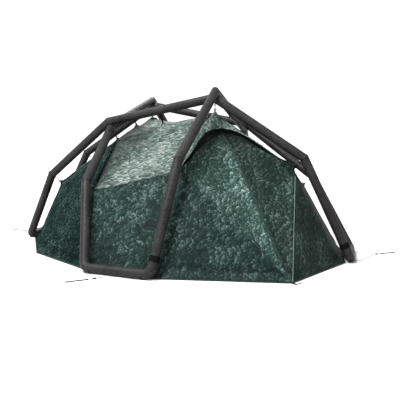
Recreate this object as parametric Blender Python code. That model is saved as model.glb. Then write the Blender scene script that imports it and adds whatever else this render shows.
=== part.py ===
"""Inflatable tent: four crossed air beams, a hung fly sheet with a door at each end, and its guy lines.

Metres, +Z up. The origin is on the ground under the middle. X runs across the tent and Y along it, with the
doors at the two ends of Y: the front door faces -Y.
"""

import math

import bpy
import bmesh
import numpy as np
from mathutils import Matrix, Vector
from mathutils.bvhtree import BVHTree

# Clearances
gap = 0.0003
slide_clearance = 0.0005

# Air beams: cross-section
tube_radius = 0.034
tube_sides = 8
sleeve_wall = 0.001
bladder_wall = 0.0006

# Air beams: centre lines, given for the quadrant of +X and +Y
side_crossing_out = 0.622
side_crossing_height = 1.023
end_crossing_out = 0.674
end_crossing_height = 1.240
crossing_offset = 0.023
side_knee_x, side_knee_y, side_knee_height = 0.978, 0.555, 0.594
end_knee_x, end_knee_y, end_knee_height = 0.502, 1.153, 0.766
side_foot_x, side_foot_y = 1.099, 0.933
end_foot_x, end_foot_y = 0.782, 1.361
foot_bend_radius = 0.060
foot_bend_steps = 3

# Air beams: the space between tubes that press each other flat, and the places shaped there, in tube radii
press_space = 0.003
press_shares = (0.7, 1.4, 2.1)

# Cuffs, over the joins of neighbouring beams
cuff_distance = 0.105
cuff_length = 0.040
cuff_thickness = 0.002

# Inflation valves, one on each ground tube
valve_neck_radius = 0.006
valve_bore_radius = 0.004
valve_flange_radius = 0.0095
valve_flange_height = 0.0025
valve_collar_radius = 0.007
valve_collar_height = 0.0065
valve_neck_depth = 0.008
valve_sides = 10
valve_flat_steps = 3
cap_radius = 0.008
cap_thickness = 0.002
cap_plug_depth = 0.0015
cap_tab_length = 0.0030
cap_tab_width = 0.005

# Fly sheet: where it hangs from the beams
fly_thickness = 0.0012
side_peak_inset, side_peak_drop = 0.058, 0.113
end_peak_outset, end_peak_drop = 0.003, 0.118
mid_inset_x, mid_inset_y, mid_drop = 0.022, 0.019, 0.0955
roof_centre_height = 1.030
side_shoulder_inset_x, side_shoulder_inset_y, side_shoulder_drop = 0.058, 0.027, 0.053
end_shoulder_inset_x, end_shoulder_inset_y, end_shoulder_drop = 0.041, 0.056, 0.061
side_hem_inset_x, side_hem_inset_y = 0.031, 0.042
end_hem_inset_x, end_hem_inset_y = 0.041, 0.011
side_tip_out = 1.235
end_tip_out = 1.817

# Doors, hoods and the vents under the hoods
door_top_out, door_top_height = 0.800, 0.950
door_ridge_out, door_ridge_height = 0.955, 0.868
door_hinge_start_share = 0.10
door_shoulder_share = 0.20
door_arch_rise = 0.030
door_arch_steps = 3
door_foot_cut = 0.012
hood_corner_share = 0.08
hood_arch_share = 0.34
hood_arch_pull_share = 0.75
hood_arch_steps = 6
hood_seam_share = 0.30
vent_recess = 0.045
vent_depth_share = 0.75
slider_length = 0.014
slider_width = 0.008
slider_height = 0.005
slider_edge = 0.006
slider_start = 0.150
pull_length = 0.030
pull_width = 0.006
pull_thickness = 0.0015

# Groundsheet
groundsheet_thickness = 0.001

# Elastic hangers and hem ties
hanger_radius = 0.0025
hanger_tip_radius = 0.0006
hanger_taper = 0.010
hanger_sides = 6
hanger_inset = 0.008
tie_height = 0.014

# Guy lines, pegs and the straps at the fly's four tips
cord_radius = 0.0015
cord_bevel_resolution = 2
cord_spacing = 0.045
loop_length = 0.020
loop_width = 0.010
loop_thickness = 0.002
loop_height = 0.012
loop_sink = 0.0095
loop_stub = 0.006
loop_lead = 0.030
runner_length = 0.022
runner_radius = 0.0045
runner_sides = 8
peg_length = 0.165
peg_radius = 0.0032
peg_head_radius = 0.0065
peg_sides = 6
tip_strap_length = 0.034
tip_strap_width = 0.014
tip_strap_thickness = 0.0015
tip_peg_length = 0.090
tip_peg_turn_deg = 25

# Guy line places, chosen by hand: the apex of each bridle and the head of its peg, on the ground
guy_places = {
    "front_left": ((-1.052, -1.172), (-1.150, -1.190)),
    "front_right": ((1.170, -1.125), (1.262, -1.115)),
    "back_left": ((-1.040, 1.330), (-1.090, 1.420)),
    "back_right": ((1.052, 1.172), (1.140, 1.220)),
}

UP = Vector((0, 0, 1))
quadrants = {"front_left": (-1, -1), "front_right": (1, -1), "back_left": (-1, 1), "back_right": (1, 1)}
door_ends = {"front": -1, "back": 1}
door_sides = {"left": -1, "right": 1}

colours = {
    "sleeve": ((0.075, 0.070, 0.072), 0.62, 0.0),
    "bladder": ((0.55, 0.56, 0.55), 0.35, 0.0),
    "cuff": ((0.010, 0.010, 0.011), 0.70, 0.0),
    "plastic": ((0.020, 0.020, 0.022), 0.45, 0.0),
    "fly": ((0.050, 0.110, 0.090), 0.75, 0.0),
    "fly_roof": ((0.250, 0.330, 0.300), 0.70, 0.0),
    "mesh": ((0.012, 0.016, 0.015), 0.90, 0.0),
    "groundsheet": ((0.045, 0.050, 0.048), 0.65, 0.0),
    "elastic": ((0.020, 0.020, 0.020), 0.80, 0.0),
    "webbing": ((0.025, 0.026, 0.026), 0.80, 0.0),
    "cord": ((0.420, 0.430, 0.420), 0.75, 0.0),
    "metal": ((0.090, 0.090, 0.095), 0.40, 0.9),
}


# Scene, materials and meshes

def clear_scene():
    for old in list(bpy.data.objects):
        bpy.data.objects.remove(old, do_unlink=True)


def material(slot):
    """The Principled material of a slot, made once."""
    known = bpy.data.materials.get(slot)
    if known:
        return known
    colour, roughness, metallic = colours[slot]
    made = bpy.data.materials.new(slot)
    made.use_nodes = True
    shader = made.node_tree.nodes["Principled BSDF"]
    shader.inputs["Base Color"].default_value = (*colour, 1)
    shader.inputs["Roughness"].default_value = roughness
    shader.inputs["Metallic"].default_value = metallic
    return made


class Shape:
    """Vertices and faces of a closed body, gathered before they become an object."""

    def __init__(self):
        self.points = []
        self.faces = []
        self.cavity_start = None

    def start_cavity(self):
        """What is added from here on is the wall of a hollow inside the body."""
        self.cavity_start = len(self.faces)

    def add(self, points, faces):
        start = len(self.points)
        self.points += [Vector(point) for point in points]
        self.faces += [tuple(start + corner for corner in face) for face in faces]

    def loft(self, rings, closed=False):
        """Joins rings of equal count side by side. An open loft gets a cap at each end."""
        count = len(rings[0])
        faces = []
        last = len(rings) if closed else len(rings) - 1
        for row in range(last):
            low, high = row * count, (row + 1) % len(rings) * count
            for corner in range(count):
                after = (corner + 1) % count
                faces.append((low + corner, low + after, high + after))
                faces.append((low + corner, high + after, high + corner))
        if not closed:
            faces.append(tuple(range(count)))
            faces.append(tuple(range(last * count, (last + 1) * count)))
        self.add([point for ring in rings for point in ring], faces)

    def hollow(self, outer, inner):
        """A pipe wall between two lofts, split into the same triangles in both."""
        count, last = len(outer[0]), len(outer) - 1
        start = count * len(outer)
        faces = []
        for row in range(last):
            low, high = row * count, (row + 1) * count
            for corner in range(count):
                after = (corner + 1) % count
                for layer in (0, start):
                    a, b = layer + low + corner, layer + low + after
                    c, d = layer + high + after, layer + high + corner
                    faces += [(a, b, c), (a, c, d)]
        for row in (0, last * count):
            for corner in range(count):
                after = (corner + 1) % count
                faces.append((row + corner, row + after, start + row + after, start + row + corner))
        self.add([point for ring in outer + inner for point in ring], faces)

    def block(self, centre, along, across, sizes):
        """A box with its first size along one direction and its second across it."""
        along = along.normalized()
        across = (across - along * across.dot(along)).normalized()
        third = along.cross(across)
        half = [size / 2 for size in sizes]
        ring = [(1, 1), (-1, 1), (-1, -1), (1, -1)]
        ends = []
        for side in (-1, 1):
            middle = centre + along * half[0] * side
            ends.append([middle + across * half[1] * a + third * half[2] * b for a, b in ring])
        self.loft(ends)

    def turned(self, profile, centre, axis, sides, closed=True):
        """A profile of (radius, height) pairs turned about an axis."""
        across = axis.orthogonal().normalized()
        rings = []
        for radius, height in profile:
            rings.append(circle(centre + axis * height, axis, across, radius, sides))
        self.loft(rings, closed)

    def build(self, name, slot, origin=None, smooth=False):
        """The object of these bodies, with its faces out and its origin where asked."""
        origin = origin or Vector((0, 0, 0))
        mesh = bpy.data.meshes.new(name)
        mesh.from_pydata([point - origin for point in self.points], [], self.faces)
        work = bmesh.new()
        work.from_mesh(mesh)
        bmesh.ops.recalc_face_normals(work, faces=work.faces)
        if self.cavity_start is not None:
            work.faces.ensure_lookup_table()
            bmesh.ops.reverse_faces(work, faces=work.faces[self.cavity_start:])
        work.to_mesh(mesh)
        work.free()
        if smooth:
            mesh.shade_smooth()
            mesh.set_sharp_from_angle(angle=math.radians(40))
        made = bpy.data.objects.new(name, mesh)
        made.location = origin
        made.data.materials.append(material(slot))
        bpy.context.scene.collection.objects.link(made)
        return made


def circle(centre, axis, across, radius, sides, phase=0.0, cut=None):
    """Points round an axis, slid along it onto a plane through the centre if a cut normal is given."""
    side = axis.cross(across)
    points = []
    for step in range(sides):
        angle = phase + math.tau * step / sides
        offset = (across * math.cos(angle) + side * math.sin(angle)) * radius
        if cut is not None:
            offset -= axis * (offset.dot(cut) / axis.dot(cut))
        points.append(centre + offset)
    return points


def combine(target, helper, operation):
    """Joins a helper to an object, or cuts it out, with a Boolean modifier."""
    helper.hide_render = True
    helper.display_type = "WIRE"
    change = target.modifiers.new(helper.name, "BOOLEAN")
    change.operation = operation
    change.solver = "EXACT"
    change.object = helper


# Air beam centre lines

def ground_axis_height():
    """Height of a ground tube's centre line when its lowest flat lies on the ground."""
    return tube_radius * math.cos(math.pi / tube_sides)


def side_crossing(sx):
    return Vector((sx * side_crossing_out, 0, side_crossing_height))


def end_crossing(sy):
    return Vector((0, sy * end_crossing_out, end_crossing_height))


def side_knee(sx, sy):
    return Vector((sx * side_knee_x, sy * side_knee_y, side_knee_height))


def end_knee(sx, sy):
    return Vector((sx * end_knee_x, sy * end_knee_y, end_knee_height))


def side_foot(sx, sy):
    return Vector((sx * side_foot_x, sy * side_foot_y, ground_axis_height()))


def end_foot(sx, sy):
    return Vector((sx * end_foot_x, sy * end_foot_y, ground_axis_height()))


def crossing_normal(centre, neighbours):
    """Outward direction at a crossing, along which one tube lies over the other."""
    total = Vector((0, 0, 0))
    for other in neighbours:
        total -= (other - centre).normalized()
    return total.normalized()


def side_crossing_normal(sx):
    around = [end_crossing(-1), end_crossing(1), side_knee(sx, -1), side_knee(sx, 1)]
    return crossing_normal(side_crossing(sx), around)


def end_crossing_normal(sy):
    around = [side_crossing(-1), side_crossing(1), end_knee(-1, sy), end_knee(1, sy)]
    return crossing_normal(end_crossing(sy), around)


def cuff_centre(sx, sy):
    foot = end_foot(sx, sy)
    return foot + (end_knee(sx, sy) - foot).normalized() * cuff_distance


class Station:
    """A point of a beam's centre line, and the two centre lines, its own and the other one, at a crossing."""

    def __init__(self, point, own=None, other=None):
        self.point = point
        self.own = own
        self.other = other


def beam_route(sx, sy):
    """The corners of one beam's centre line: from its cuff over the roof, down and round the ground tube."""
    over_end = 1 if sx * sy > 0 else -1
    end_centre = end_crossing(sy) + end_crossing_normal(sy) * over_end * crossing_offset
    side_centre = side_crossing(-sx) - side_crossing_normal(-sx) * over_end * crossing_offset
    return [
        cuff_centre(sx, sy),
        end_knee(sx, sy),
        end_centre,
        side_centre,
        side_knee(-sx, -sy),
        side_foot(-sx, -sy),
        end_foot(-sx, -sy),
        cuff_centre(-sx, -sy),
    ]


def crossing_stations(own, other):
    """The stations at a crossing, given three corners of each centre line."""
    before, centre, after = own
    back, ahead = (before - centre).normalized(), (after - centre).normalized()
    points = [centre + back * tube_radius * share for share in reversed(press_shares)]
    points.append(centre)
    points += [centre + ahead * tube_radius * share for share in press_shares]
    return [Station(point, own, other) for point in points]


def bend_stations(before, corner, after):
    """The stations of a rounded corner."""
    arriving, leaving = (corner - before).normalized(), (after - corner).normalized()
    turn = arriving.angle(leaving)
    reach = foot_bend_radius * math.tan(turn / 2)
    axis = arriving.cross(leaving).normalized()
    start = corner - arriving * reach
    inward = axis.cross(arriving).normalized()
    centre = start + inward * foot_bend_radius
    stations = []
    for step in range(foot_bend_steps + 1):
        spin = Matrix.Rotation(turn * step / foot_bend_steps, 3, axis)
        stations.append(Station(centre + spin @ (start - centre)))
    return stations


def beam_stations(sx, sy):
    """The stations of one beam, in order along it."""
    route = beam_route(sx, sy)
    stations = [Station(route[0]), Station(route[1])]
    stations += crossing_stations(route[1:4], beam_route(-sx, sy)[1:4])
    stations += crossing_stations(route[2:5], beam_route(sx, -sy)[2:5])
    stations.append(Station(route[4]))
    stations += bend_stations(*route[4:7])
    stations += bend_stations(*route[5:8])
    stations.append(Station(route[7]))
    return stations


# Air beam walls

def run_frames(stations):
    """Direction and side vector of each straight run, without twist, a flat side down on the ground."""
    directions = [(after.point - before.point).normalized() for before, after in zip(stations, stations[1:])]
    across = directions[0].orthogonal().normalized()
    sides = [across]
    for before, after in zip(directions, directions[1:]):
        across = before.rotation_difference(after) @ across
        across = (across - after * across.dot(after)).normalized()
        sides.append(across)
    lowest = min(range(len(directions)), key=lambda run: stations[run].point.z + stations[run + 1].point.z)
    down = -UP
    phase = math.atan2(down.dot(directions[lowest].cross(sides[lowest])), down.dot(sides[lowest]))
    return directions, sides, phase


def distance_to(point, line):
    """Distance from a point to a line of several corners."""
    shortest = math.inf
    for start, stop in zip(line, line[1:]):
        run = stop - start
        share = min(1, max(0, (point - start).dot(run) / run.length_squared))
        shortest = min(shortest, (start + run * share - point).length)
    return shortest


def fits(point, station):
    """Whether a point of a beam's wall stays off the ground and on its own side of a crossing."""
    if point.z < 0:
        return False
    if station.other is None:
        return True
    return distance_to(point, station.other) - distance_to(point, station.own) >= press_space


def reach_share(centre, offset, station):
    """The share of an offset that a wall point can reach before the ground or the other tube stops it."""
    if fits(centre + offset, station):
        return 1
    low, high = 0, 1
    for _ in range(20):
        middle = (low + high) / 2
        if fits(centre + offset * middle, station):
            low = middle
        else:
            high = middle
    return low


def beam_rings(stations, frames, depth, ends):
    """The rings of one layer of a beam wall, a depth inside its outer face, drawn in at its two ends."""
    directions, acrosses, phase = frames
    last = len(stations) - 1
    turn = phase + math.pi / tube_sides
    rings = []
    for index, station in enumerate(stations):
        run = min(index, last - 1)
        cut = directions[run]
        if 0 < index < last:
            cut = (directions[index - 1] + directions[index]).normalized()
        shift = ends if index == 0 else -ends if index == last else 0
        centre = station.point + directions[run] * shift
        ring = []
        for point in circle(centre, directions[run], acrosses[run], tube_radius, tube_sides, turn, cut):
            share = reach_share(centre, point - centre, station)
            ring.append(centre + (point - centre) * (share - depth / tube_radius))
        rings.append(ring)
    return rings


def build_sleeve(name, stations):
    """The woven sleeve of one beam, open at its ends under the cuffs."""
    frames = run_frames(stations)
    shape = Shape()
    shape.hollow(
        beam_rings(stations, frames, 0, gap / 2),
        beam_rings(stations, frames, sleeve_wall, gap / 2))
    return shape.build(name, "sleeve", smooth=True)


def build_bladder(name, stations):
    """The airtight bladder of one beam, closed at its ends and opened by its valve's hole."""
    frames = run_frames(stations)
    depth = sleeve_wall + gap
    shape = Shape()
    shape.loft(beam_rings(stations, frames, depth, gap))
    shape.start_cavity()
    shape.loft(beam_rings(stations, frames, depth + bladder_wall, gap + bladder_wall))
    return shape.build(name, "bladder", smooth=True)


def build_cuff(name, sx, sy):
    """The black band over the join of two neighbouring beams."""
    shape = Shape()
    sides = tube_sides + 4
    inner = (tube_radius + gap) / math.cos(math.pi / sides)
    outer = inner + cuff_thickness
    half = cuff_length / 2
    profile = [(inner, -half), (outer, -half), (outer, half), (inner, half)]
    axis = (end_knee(sx, sy) - end_foot(sx, sy)).normalized()
    shape.turned(profile, cuff_centre(sx, sy), axis, sides)
    return shape.build(name, "cuff", smooth=True)


# Inflation valves

def valve_frame(sx, sy):
    """Centre of a ground tube, the valve's outward axis and the tube's direction."""
    first, second = side_foot(sx, sy), end_foot(sx, sy)
    along = (second - first).normalized()
    middle = (first + second) / 2
    inward = UP.cross(along)
    if inward.dot(middle) > 0:
        inward = -inward
    lean = math.tau * valve_flat_steps / tube_sides - math.pi / 2
    axis = (inward * math.cos(lean) + UP * math.sin(lean)).normalized()
    return middle + axis * ground_axis_height(), axis, along


def build_valve(name, sx, sy):
    """A valve body on a flat of a ground tube, with its neck through both walls."""
    shape = Shape()
    profile = [
        (valve_bore_radius, -valve_neck_depth),
        (valve_neck_radius, -valve_neck_depth),
        (valve_neck_radius, gap),
        (valve_flange_radius, gap),
        (valve_flange_radius, gap + valve_flange_height),
        (valve_collar_radius, gap + valve_flange_height),
        (valve_collar_radius, valve_collar_height),
        (valve_bore_radius, valve_collar_height),
    ]
    seat, axis, _ = valve_frame(sx, sy)
    shape.turned(profile, seat, axis, valve_sides)
    return shape.build(name, "plastic", smooth=True)


def build_valve_cap(name, sx, sy):
    """A valve's cap, hinged at its edge so that it opens along the tube."""
    seat, axis, along = valve_frame(sx, sy)
    base = valve_collar_height + gap
    across = along.cross(axis)
    plug = valve_bore_radius - slide_clearance
    shape = Shape()
    profile = [
        (plug, base - cap_plug_depth),
        (plug, base),
        (cap_radius, base),
        (cap_radius, base + cap_thickness),
    ]
    shape.turned(profile, seat, axis, valve_sides, closed=False)
    cap = shape.build(name, "plastic", origin=seat + axis * base + along * (cap_radius + cap_tab_length))
    tab = Shape()
    reach = cap_radius / 2 + cap_tab_length
    middle = seat + axis * (base + cap_thickness / 2) + along * (cap_radius + cap_tab_length - reach / 2)
    tab.block(middle, along, across, (reach, cap_tab_width, cap_thickness - 2 * gap))
    combine(cap, tab.build(f"tab_of_{name}", "plastic"), "UNION")
    return cap


def cut_valve_hole(target, sx, sy):
    """Opens a beam wall where the valve's neck goes through."""
    seat, axis, _ = valve_frame(sx, sy)
    shape = Shape()
    radius = valve_neck_radius + slide_clearance
    profile = [(radius, -valve_neck_depth - valve_neck_radius), (radius, valve_neck_radius)]
    shape.turned(profile, seat, axis, valve_sides, closed=False)
    combine(target, shape.build(f"hole_in_{target.name}", "plastic"), "DIFFERENCE")


# Fly sheet corners

def fly_corners():
    """Every corner of the fly sheet's outer face, by name and quadrant signs."""
    corners = {("centre",): Vector((0, 0, roof_centre_height))}
    for side in (-1, 1):
        corners["side_peak", side] = side_crossing(side) - Vector((side * side_peak_inset, 0, side_peak_drop))
        corners["end_peak", side] = end_crossing(side) - Vector((0, -side * end_peak_outset, end_peak_drop))
        corners["side_tip", side] = Vector((side * side_tip_out, 0, 0))
        corners["end_tip", side] = Vector((0, side * end_tip_out, 0))
        corners["door_top", side] = Vector((0, side * door_top_out, door_top_height))
        corners["door_ridge", side] = Vector((0, side * door_ridge_out, door_ridge_height))
    for sx, sy in quadrants.values():
        middle = (side_crossing(sx) + end_crossing(sy)) / 2
        corners["mid", sx, sy] = middle - Vector((sx * mid_inset_x, sy * mid_inset_y, mid_drop))
        corners["side_shoulder", sx, sy] = side_knee(sx, sy) - Vector(
            (sx * side_shoulder_inset_x, sy * side_shoulder_inset_y, side_shoulder_drop))
        corners["end_shoulder", sx, sy] = end_knee(sx, sy) - Vector(
            (sx * end_shoulder_inset_x, sy * end_shoulder_inset_y, end_shoulder_drop))
        side_hem = side_foot(sx, sy) - Vector((sx * side_hem_inset_x, sy * side_hem_inset_y, 0))
        end_hem = end_foot(sx, sy) - Vector((sx * end_hem_inset_x, sy * end_hem_inset_y, 0))
        corners["side_hem", sx, sy] = Vector((side_hem.x, side_hem.y, 0))
        corners["end_hem", sx, sy] = Vector((end_hem.x, end_hem.y, 0))
        shoulder, tip = corners["end_shoulder", sx, sy], corners["end_tip", sy]
        top = corners["door_top", sy]
        corners["door_hinge", sx, sy] = shoulder.lerp(tip, door_hinge_start_share)
        corners["door_turn", sx, sy] = shoulder.lerp(top, door_shoulder_share)
        corners["door_heel", sx, sy] = tip + (shoulder - tip).normalized() * door_foot_cut
        corners["door_toe", sy] = tip + (corners["door_ridge", sy] - tip).normalized() * door_foot_cut
    return corners


def door_arch(corners, sx, sy):
    """Names of the points that round the top edge of a door flap, from its turn to the door's top."""
    turn, top = corners["door_turn", sx, sy], corners["door_top", sy]
    face = (turn - corners["door_ridge", sy]).cross(top - corners["door_ridge", sy])
    outward = face.cross(top - turn).normalized()
    if outward.z < 0:
        outward = -outward
    names = []
    for step in range(1, door_arch_steps + 1):
        share = step / (door_arch_steps + 1)
        name = ("door_arch", sx, sy, step)
        rise = door_arch_rise * math.sin(math.pi * share)
        corners[name] = turn.lerp(top, share) + outward * rise
        names.append(name)
    return names


def fly_pieces(corners):
    """The faces of each piece of the fly, by node name."""
    pieces = {"roof_top": []}
    for sx, sy in quadrants.values():
        pieces["roof_top"] += [
            [("centre",), ("side_peak", sx), ("mid", sx, sy)],
            [("centre",), ("mid", sx, sy), ("end_peak", sy)],
        ]
    for name, (sx, sy) in quadrants.items():
        side_shoulder, end_shoulder = ("side_shoulder", sx, sy), ("end_shoulder", sx, sy)
        side_hem, end_hem = ("side_hem", sx, sy), ("end_hem", sx, sy)
        side_tip, end_tip = ("side_tip", sx), ("end_tip", sy)
        hinge, turn = ("door_hinge", sx, sy), ("door_turn", sx, sy)
        pieces[f"roof_slope_{name}"] = [
            [("side_peak", sx), ("mid", sx, sy), side_shoulder],
            [("mid", sx, sy), end_shoulder, side_shoulder],
            [("mid", sx, sy), ("end_peak", sy), end_shoulder],
        ]
        pieces[f"wall_{name}"] = [
            [side_shoulder, end_shoulder, end_hem],
            [side_shoulder, end_hem, side_hem],
            [side_shoulder, side_hem, side_tip],
            [end_shoulder, hinge, ("door_heel", sx, sy), end_tip, end_hem],
            [end_shoulder, turn, hinge],
        ]
    for end, sy in door_ends.items():
        for side, sx in door_sides.items():
            arch = door_arch(corners, sx, sy)
            pieces[f"{end}_door_{side}_flap"] = [
                [("door_hinge", sx, sy), ("door_turn", sx, sy), *arch, ("door_top", sy), ("door_ridge", sy)],
                [("door_hinge", sx, sy), ("door_ridge", sy), ("door_toe", sy), ("door_heel", sx, sy)],
            ]
    for side, sx in door_sides.items():
        pieces[f"{side}_end_panel"] = [
            [("side_peak", sx), ("side_shoulder", sx, -1), ("side_shoulder", sx, 1)],
            [("side_shoulder", sx, -1), ("side_shoulder", sx, 1), ("side_tip", sx)],
        ]
    return pieces


def outward_normal(points):
    """Unit normal of a flat face, pointing away from the middle of the tent."""
    normal = Vector((0, 0, 0))
    for index in range(1, len(points) - 1):
        normal += (points[index] - points[0]).cross(points[index + 1] - points[0])
    normal.normalize()
    middle = sum(points, Vector((0, 0, 0))) / len(points)
    inside = Vector((0, 0, side_knee_height / 2))
    return normal if normal.dot(middle - inside) > 0 else -normal


def inner_corners(corners, pieces):
    """The inner face's corner under each outer one, inside every face that meets there."""
    normals = {}
    for body in pieces.values():
        for face in body:
            normal = outward_normal([corners[name] for name in face])
            for name in face:
                normals.setdefault(name, []).append(normal)
    inner = {}
    for name, around in normals.items():
        rows = [list(normal) for normal in around]
        aims = [-fly_thickness] * len(rows)
        if corners[name].z == 0:
            rows.append([0, 0, len(rows) * len(rows)])
            aims.append(0)
        offset = np.linalg.lstsq(np.array(rows, float), np.array(aims, float), rcond=1e-3)[0]
        inner[name] = corners[name] + Vector(offset)
    return inner


def body_shifts(body, corners, clearance):
    """How far each corner of a body draws in, so that its free edges leave half a clearance."""
    edges = {}
    for face in body:
        normal = outward_normal([corners[name] for name in face])
        middle = sum((corners[name] for name in face), Vector((0, 0, 0))) / len(face)
        for start, stop in zip(face, face[1:] + face[:1]):
            edges.setdefault(frozenset((start, stop)), []).append((start, stop, normal, middle))
    rows = {}
    for uses in edges.values():
        if len(uses) > 1:
            continue
        start, stop, normal, middle = uses[0]
        inward = normal.cross(corners[stop] - corners[start]).normalized()
        if inward.dot(middle - corners[start]) < 0:
            inward = -inward
        for name in (start, stop):
            rows.setdefault(name, []).append(list(inward))
    shifts = {}
    for name, directions in rows.items():
        aims = np.full(len(directions), clearance / 2)
        shifts[name] = Vector(np.linalg.lstsq(np.array(directions, float), aims, rcond=1e-3)[0])
    return shifts


def add_fly_body(shape, body, corners, inner, clearance):
    """One closed body of fly cloth from its faces."""
    shifts = body_shifts(body, corners, clearance)
    names = []
    for face in body:
        names += [name for name in face if name not in names]
    zero = Vector((0, 0, 0))
    outer_points = [corners[name] + shifts.get(name, zero) for name in names]
    inner_points = [inner[name] + shifts.get(name, zero) for name in names]
    count = len(names)
    faces, sides = [], {}
    for face in body:
        ring = [names.index(name) for name in face]
        faces.append(tuple(ring))
        faces.append(tuple(count + corner for corner in ring))
        for start, stop in zip(ring, ring[1:] + ring[:1]):
            sides.setdefault(frozenset((start, stop)), []).append((start, stop))
    for uses in sides.values():
        if len(uses) == 1:
            start, stop = uses[0]
            faces.append((start, stop, count + stop, count + start))
    shape.add(outer_points + inner_points, faces)


def build_fly(corners, pieces, inner):
    """Every piece of the fly that shares its corners with the next one."""
    made = {}
    for name, body in pieces.items():
        shape = Shape()
        add_fly_body(shape, body, corners, inner, gap)
        slot = "fly_roof" if name.startswith("roof") else "fly"
        origin = None
        if name.endswith("flap"):
            end, _, side, _ = name.split("_")
            origin = corners["end_shoulder", door_sides[side], door_ends[end]]
        made[name] = shape.build(name, slot, origin=origin)
    return made


# Hoods, and the vents behind the door tops

def hood_outline(corners, sy):
    """A hood's outline: the peak, two shoulders and the arched lower edge between them."""
    peak = corners["end_peak", sy]
    left, right = (corners["end_shoulder", sx, sy].lerp(peak, hood_corner_share) for sx in (-1, 1))
    low = (left + right) / 2
    top = peak.lerp(low, hood_arch_share)
    outline = [peak]
    for side, corner in ((-1, left), (1, right)):
        arch = []
        for step in range(1, hood_arch_steps):
            part = step / hood_arch_steps
            pull = hood_arch_pull_share * math.sin(math.pi * part)
            arch.append(corner.lerp(top, part).lerp(corner.lerp(peak, part), pull))
        outline += [corner, *arch, top] if side < 0 else [*arch[::-1], corner]
    return outline


def add_sheet(shape, outline, normal, thickness):
    """A flat sheet from its outer outline, its thickness inside it."""
    count = len(outline)
    inner = [point - normal * thickness for point in outline]
    faces = [tuple(range(count)), tuple(range(count, 2 * count))]
    faces += [(a, (a + 1) % count, count + (a + 1) % count, count + a) for a in range(count)]
    shape.add(list(outline) + inner, faces)


def draw_in(outline, normal, distances):
    """A flat outline with each edge moved inwards by its distance."""
    middle = sum(outline, Vector((0, 0, 0))) / len(outline)
    inwards = []
    for start, stop in zip(outline, outline[1:] + outline[:1]):
        inward = normal.cross(stop - start).normalized()
        inwards.append(inward)
    turn = sum(inward.dot(middle - start) * (stop - start).length
               for inward, start, stop in zip(inwards, outline, outline[1:] + outline[:1]))
    sign = 1 if turn > 0 else -1
    moved = []
    for index, point in enumerate(outline):
        rows = np.array([list(inwards[index - 1]), list(inwards[index])], float) * sign
        aims = np.array([distances[index - 1], distances[index]])
        moved.append(point + Vector(np.linalg.lstsq(rows, aims, rcond=1e-3)[0]))
    return moved


def build_hood(name, corners, sy):
    """The hood over a door, hung between the end peak and the two shoulders."""
    outline = hood_outline(corners, sy)
    normal = outward_normal([outline[0], corners["end_shoulder", -1, sy], corners["end_shoulder", 1, sy]])
    shape = Shape()
    inset = gap + fly_thickness * hood_seam_share
    add_sheet(shape, draw_in(outline, normal, [inset] * len(outline)), normal, fly_thickness)
    return shape.build(name, "fly")


def build_door_vent(name, corners, sy):
    """The mesh vent set back under a hood, behind the top of the door and up to the roof inside."""
    peak = corners["end_peak", sy]
    shoulders = {sx: corners["end_shoulder", sx, sy] for sx in (-1, 1)}
    normal = outward_normal([peak, shoulders[-1], shoulders[1]])
    roof, slope = {}, {}
    for sx in (-1, 1):
        middle = corners["mid", sx, sy]
        roof[sx] = outward_normal([corners[("centre",)], middle, peak])
        slope[sx] = outward_normal([middle, peak, shoulders[sx]])

    def corner_of(first, second):
        """Where the vent's face meets two faces of the roof, just inside their cloth."""
        rows = np.array([list(first), list(second), list(normal)], float)
        inside = -fly_thickness - gap
        return peak + Vector(np.linalg.solve(rows, np.array([inside, inside, -vent_recess])))

    left, right = corner_of(roof[-1], slope[-1]), corner_of(roof[1], slope[1])
    outline = [
        corner_of(roof[-1], roof[1]),
        left,
        left + (shoulders[-1] - peak) * vent_depth_share,
        right + (shoulders[1] - peak) * vent_depth_share,
        right,
    ]
    shape = Shape()
    add_sheet(shape, outline, normal, fly_thickness)
    return shape.build(name, "mesh")


# Zip sliders

def slider_frame(corners, sy):
    """The left flap's slider: its seat, the way up the zip, the way off the zip and the face's normal."""
    tip, ridge = corners["end_tip", sy], corners["door_ridge", sy]
    hinge = corners["door_hinge", -1, sy]
    up = (ridge - tip).normalized()
    normal = outward_normal([hinge, ridge, tip])
    off = normal.cross(up)
    if off.dot(hinge - tip) < 0:
        off = -off
    seat = tip + up * slider_start + off * (slider_edge + slider_width / 2)
    return seat, up, off, normal


def build_slider(name, corners, sy):
    """A zip slider with its pull, lying on the left flap beside the teeth."""
    seat, up, off, normal = slider_frame(corners, sy)
    steps = [
        (slider_length / 2, slider_width, slider_height),
        (-slider_length / 2, slider_width, slider_height),
        (-slider_length / 2, pull_width, pull_thickness),
        (-slider_length / 2 - pull_length, pull_width, pull_thickness),
    ]
    rings = []
    for place, width, height in steps:
        base = seat + up * place + normal * gap
        rings.append([
            base + off * width / 2,
            base - off * width / 2,
            base - off * width / 2 + normal * height,
            base + off * width / 2 + normal * height,
        ])
    shape = Shape()
    shape.loft(rings)
    return shape.build(name, "metal", origin=seat)


# Groundsheet

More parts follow.
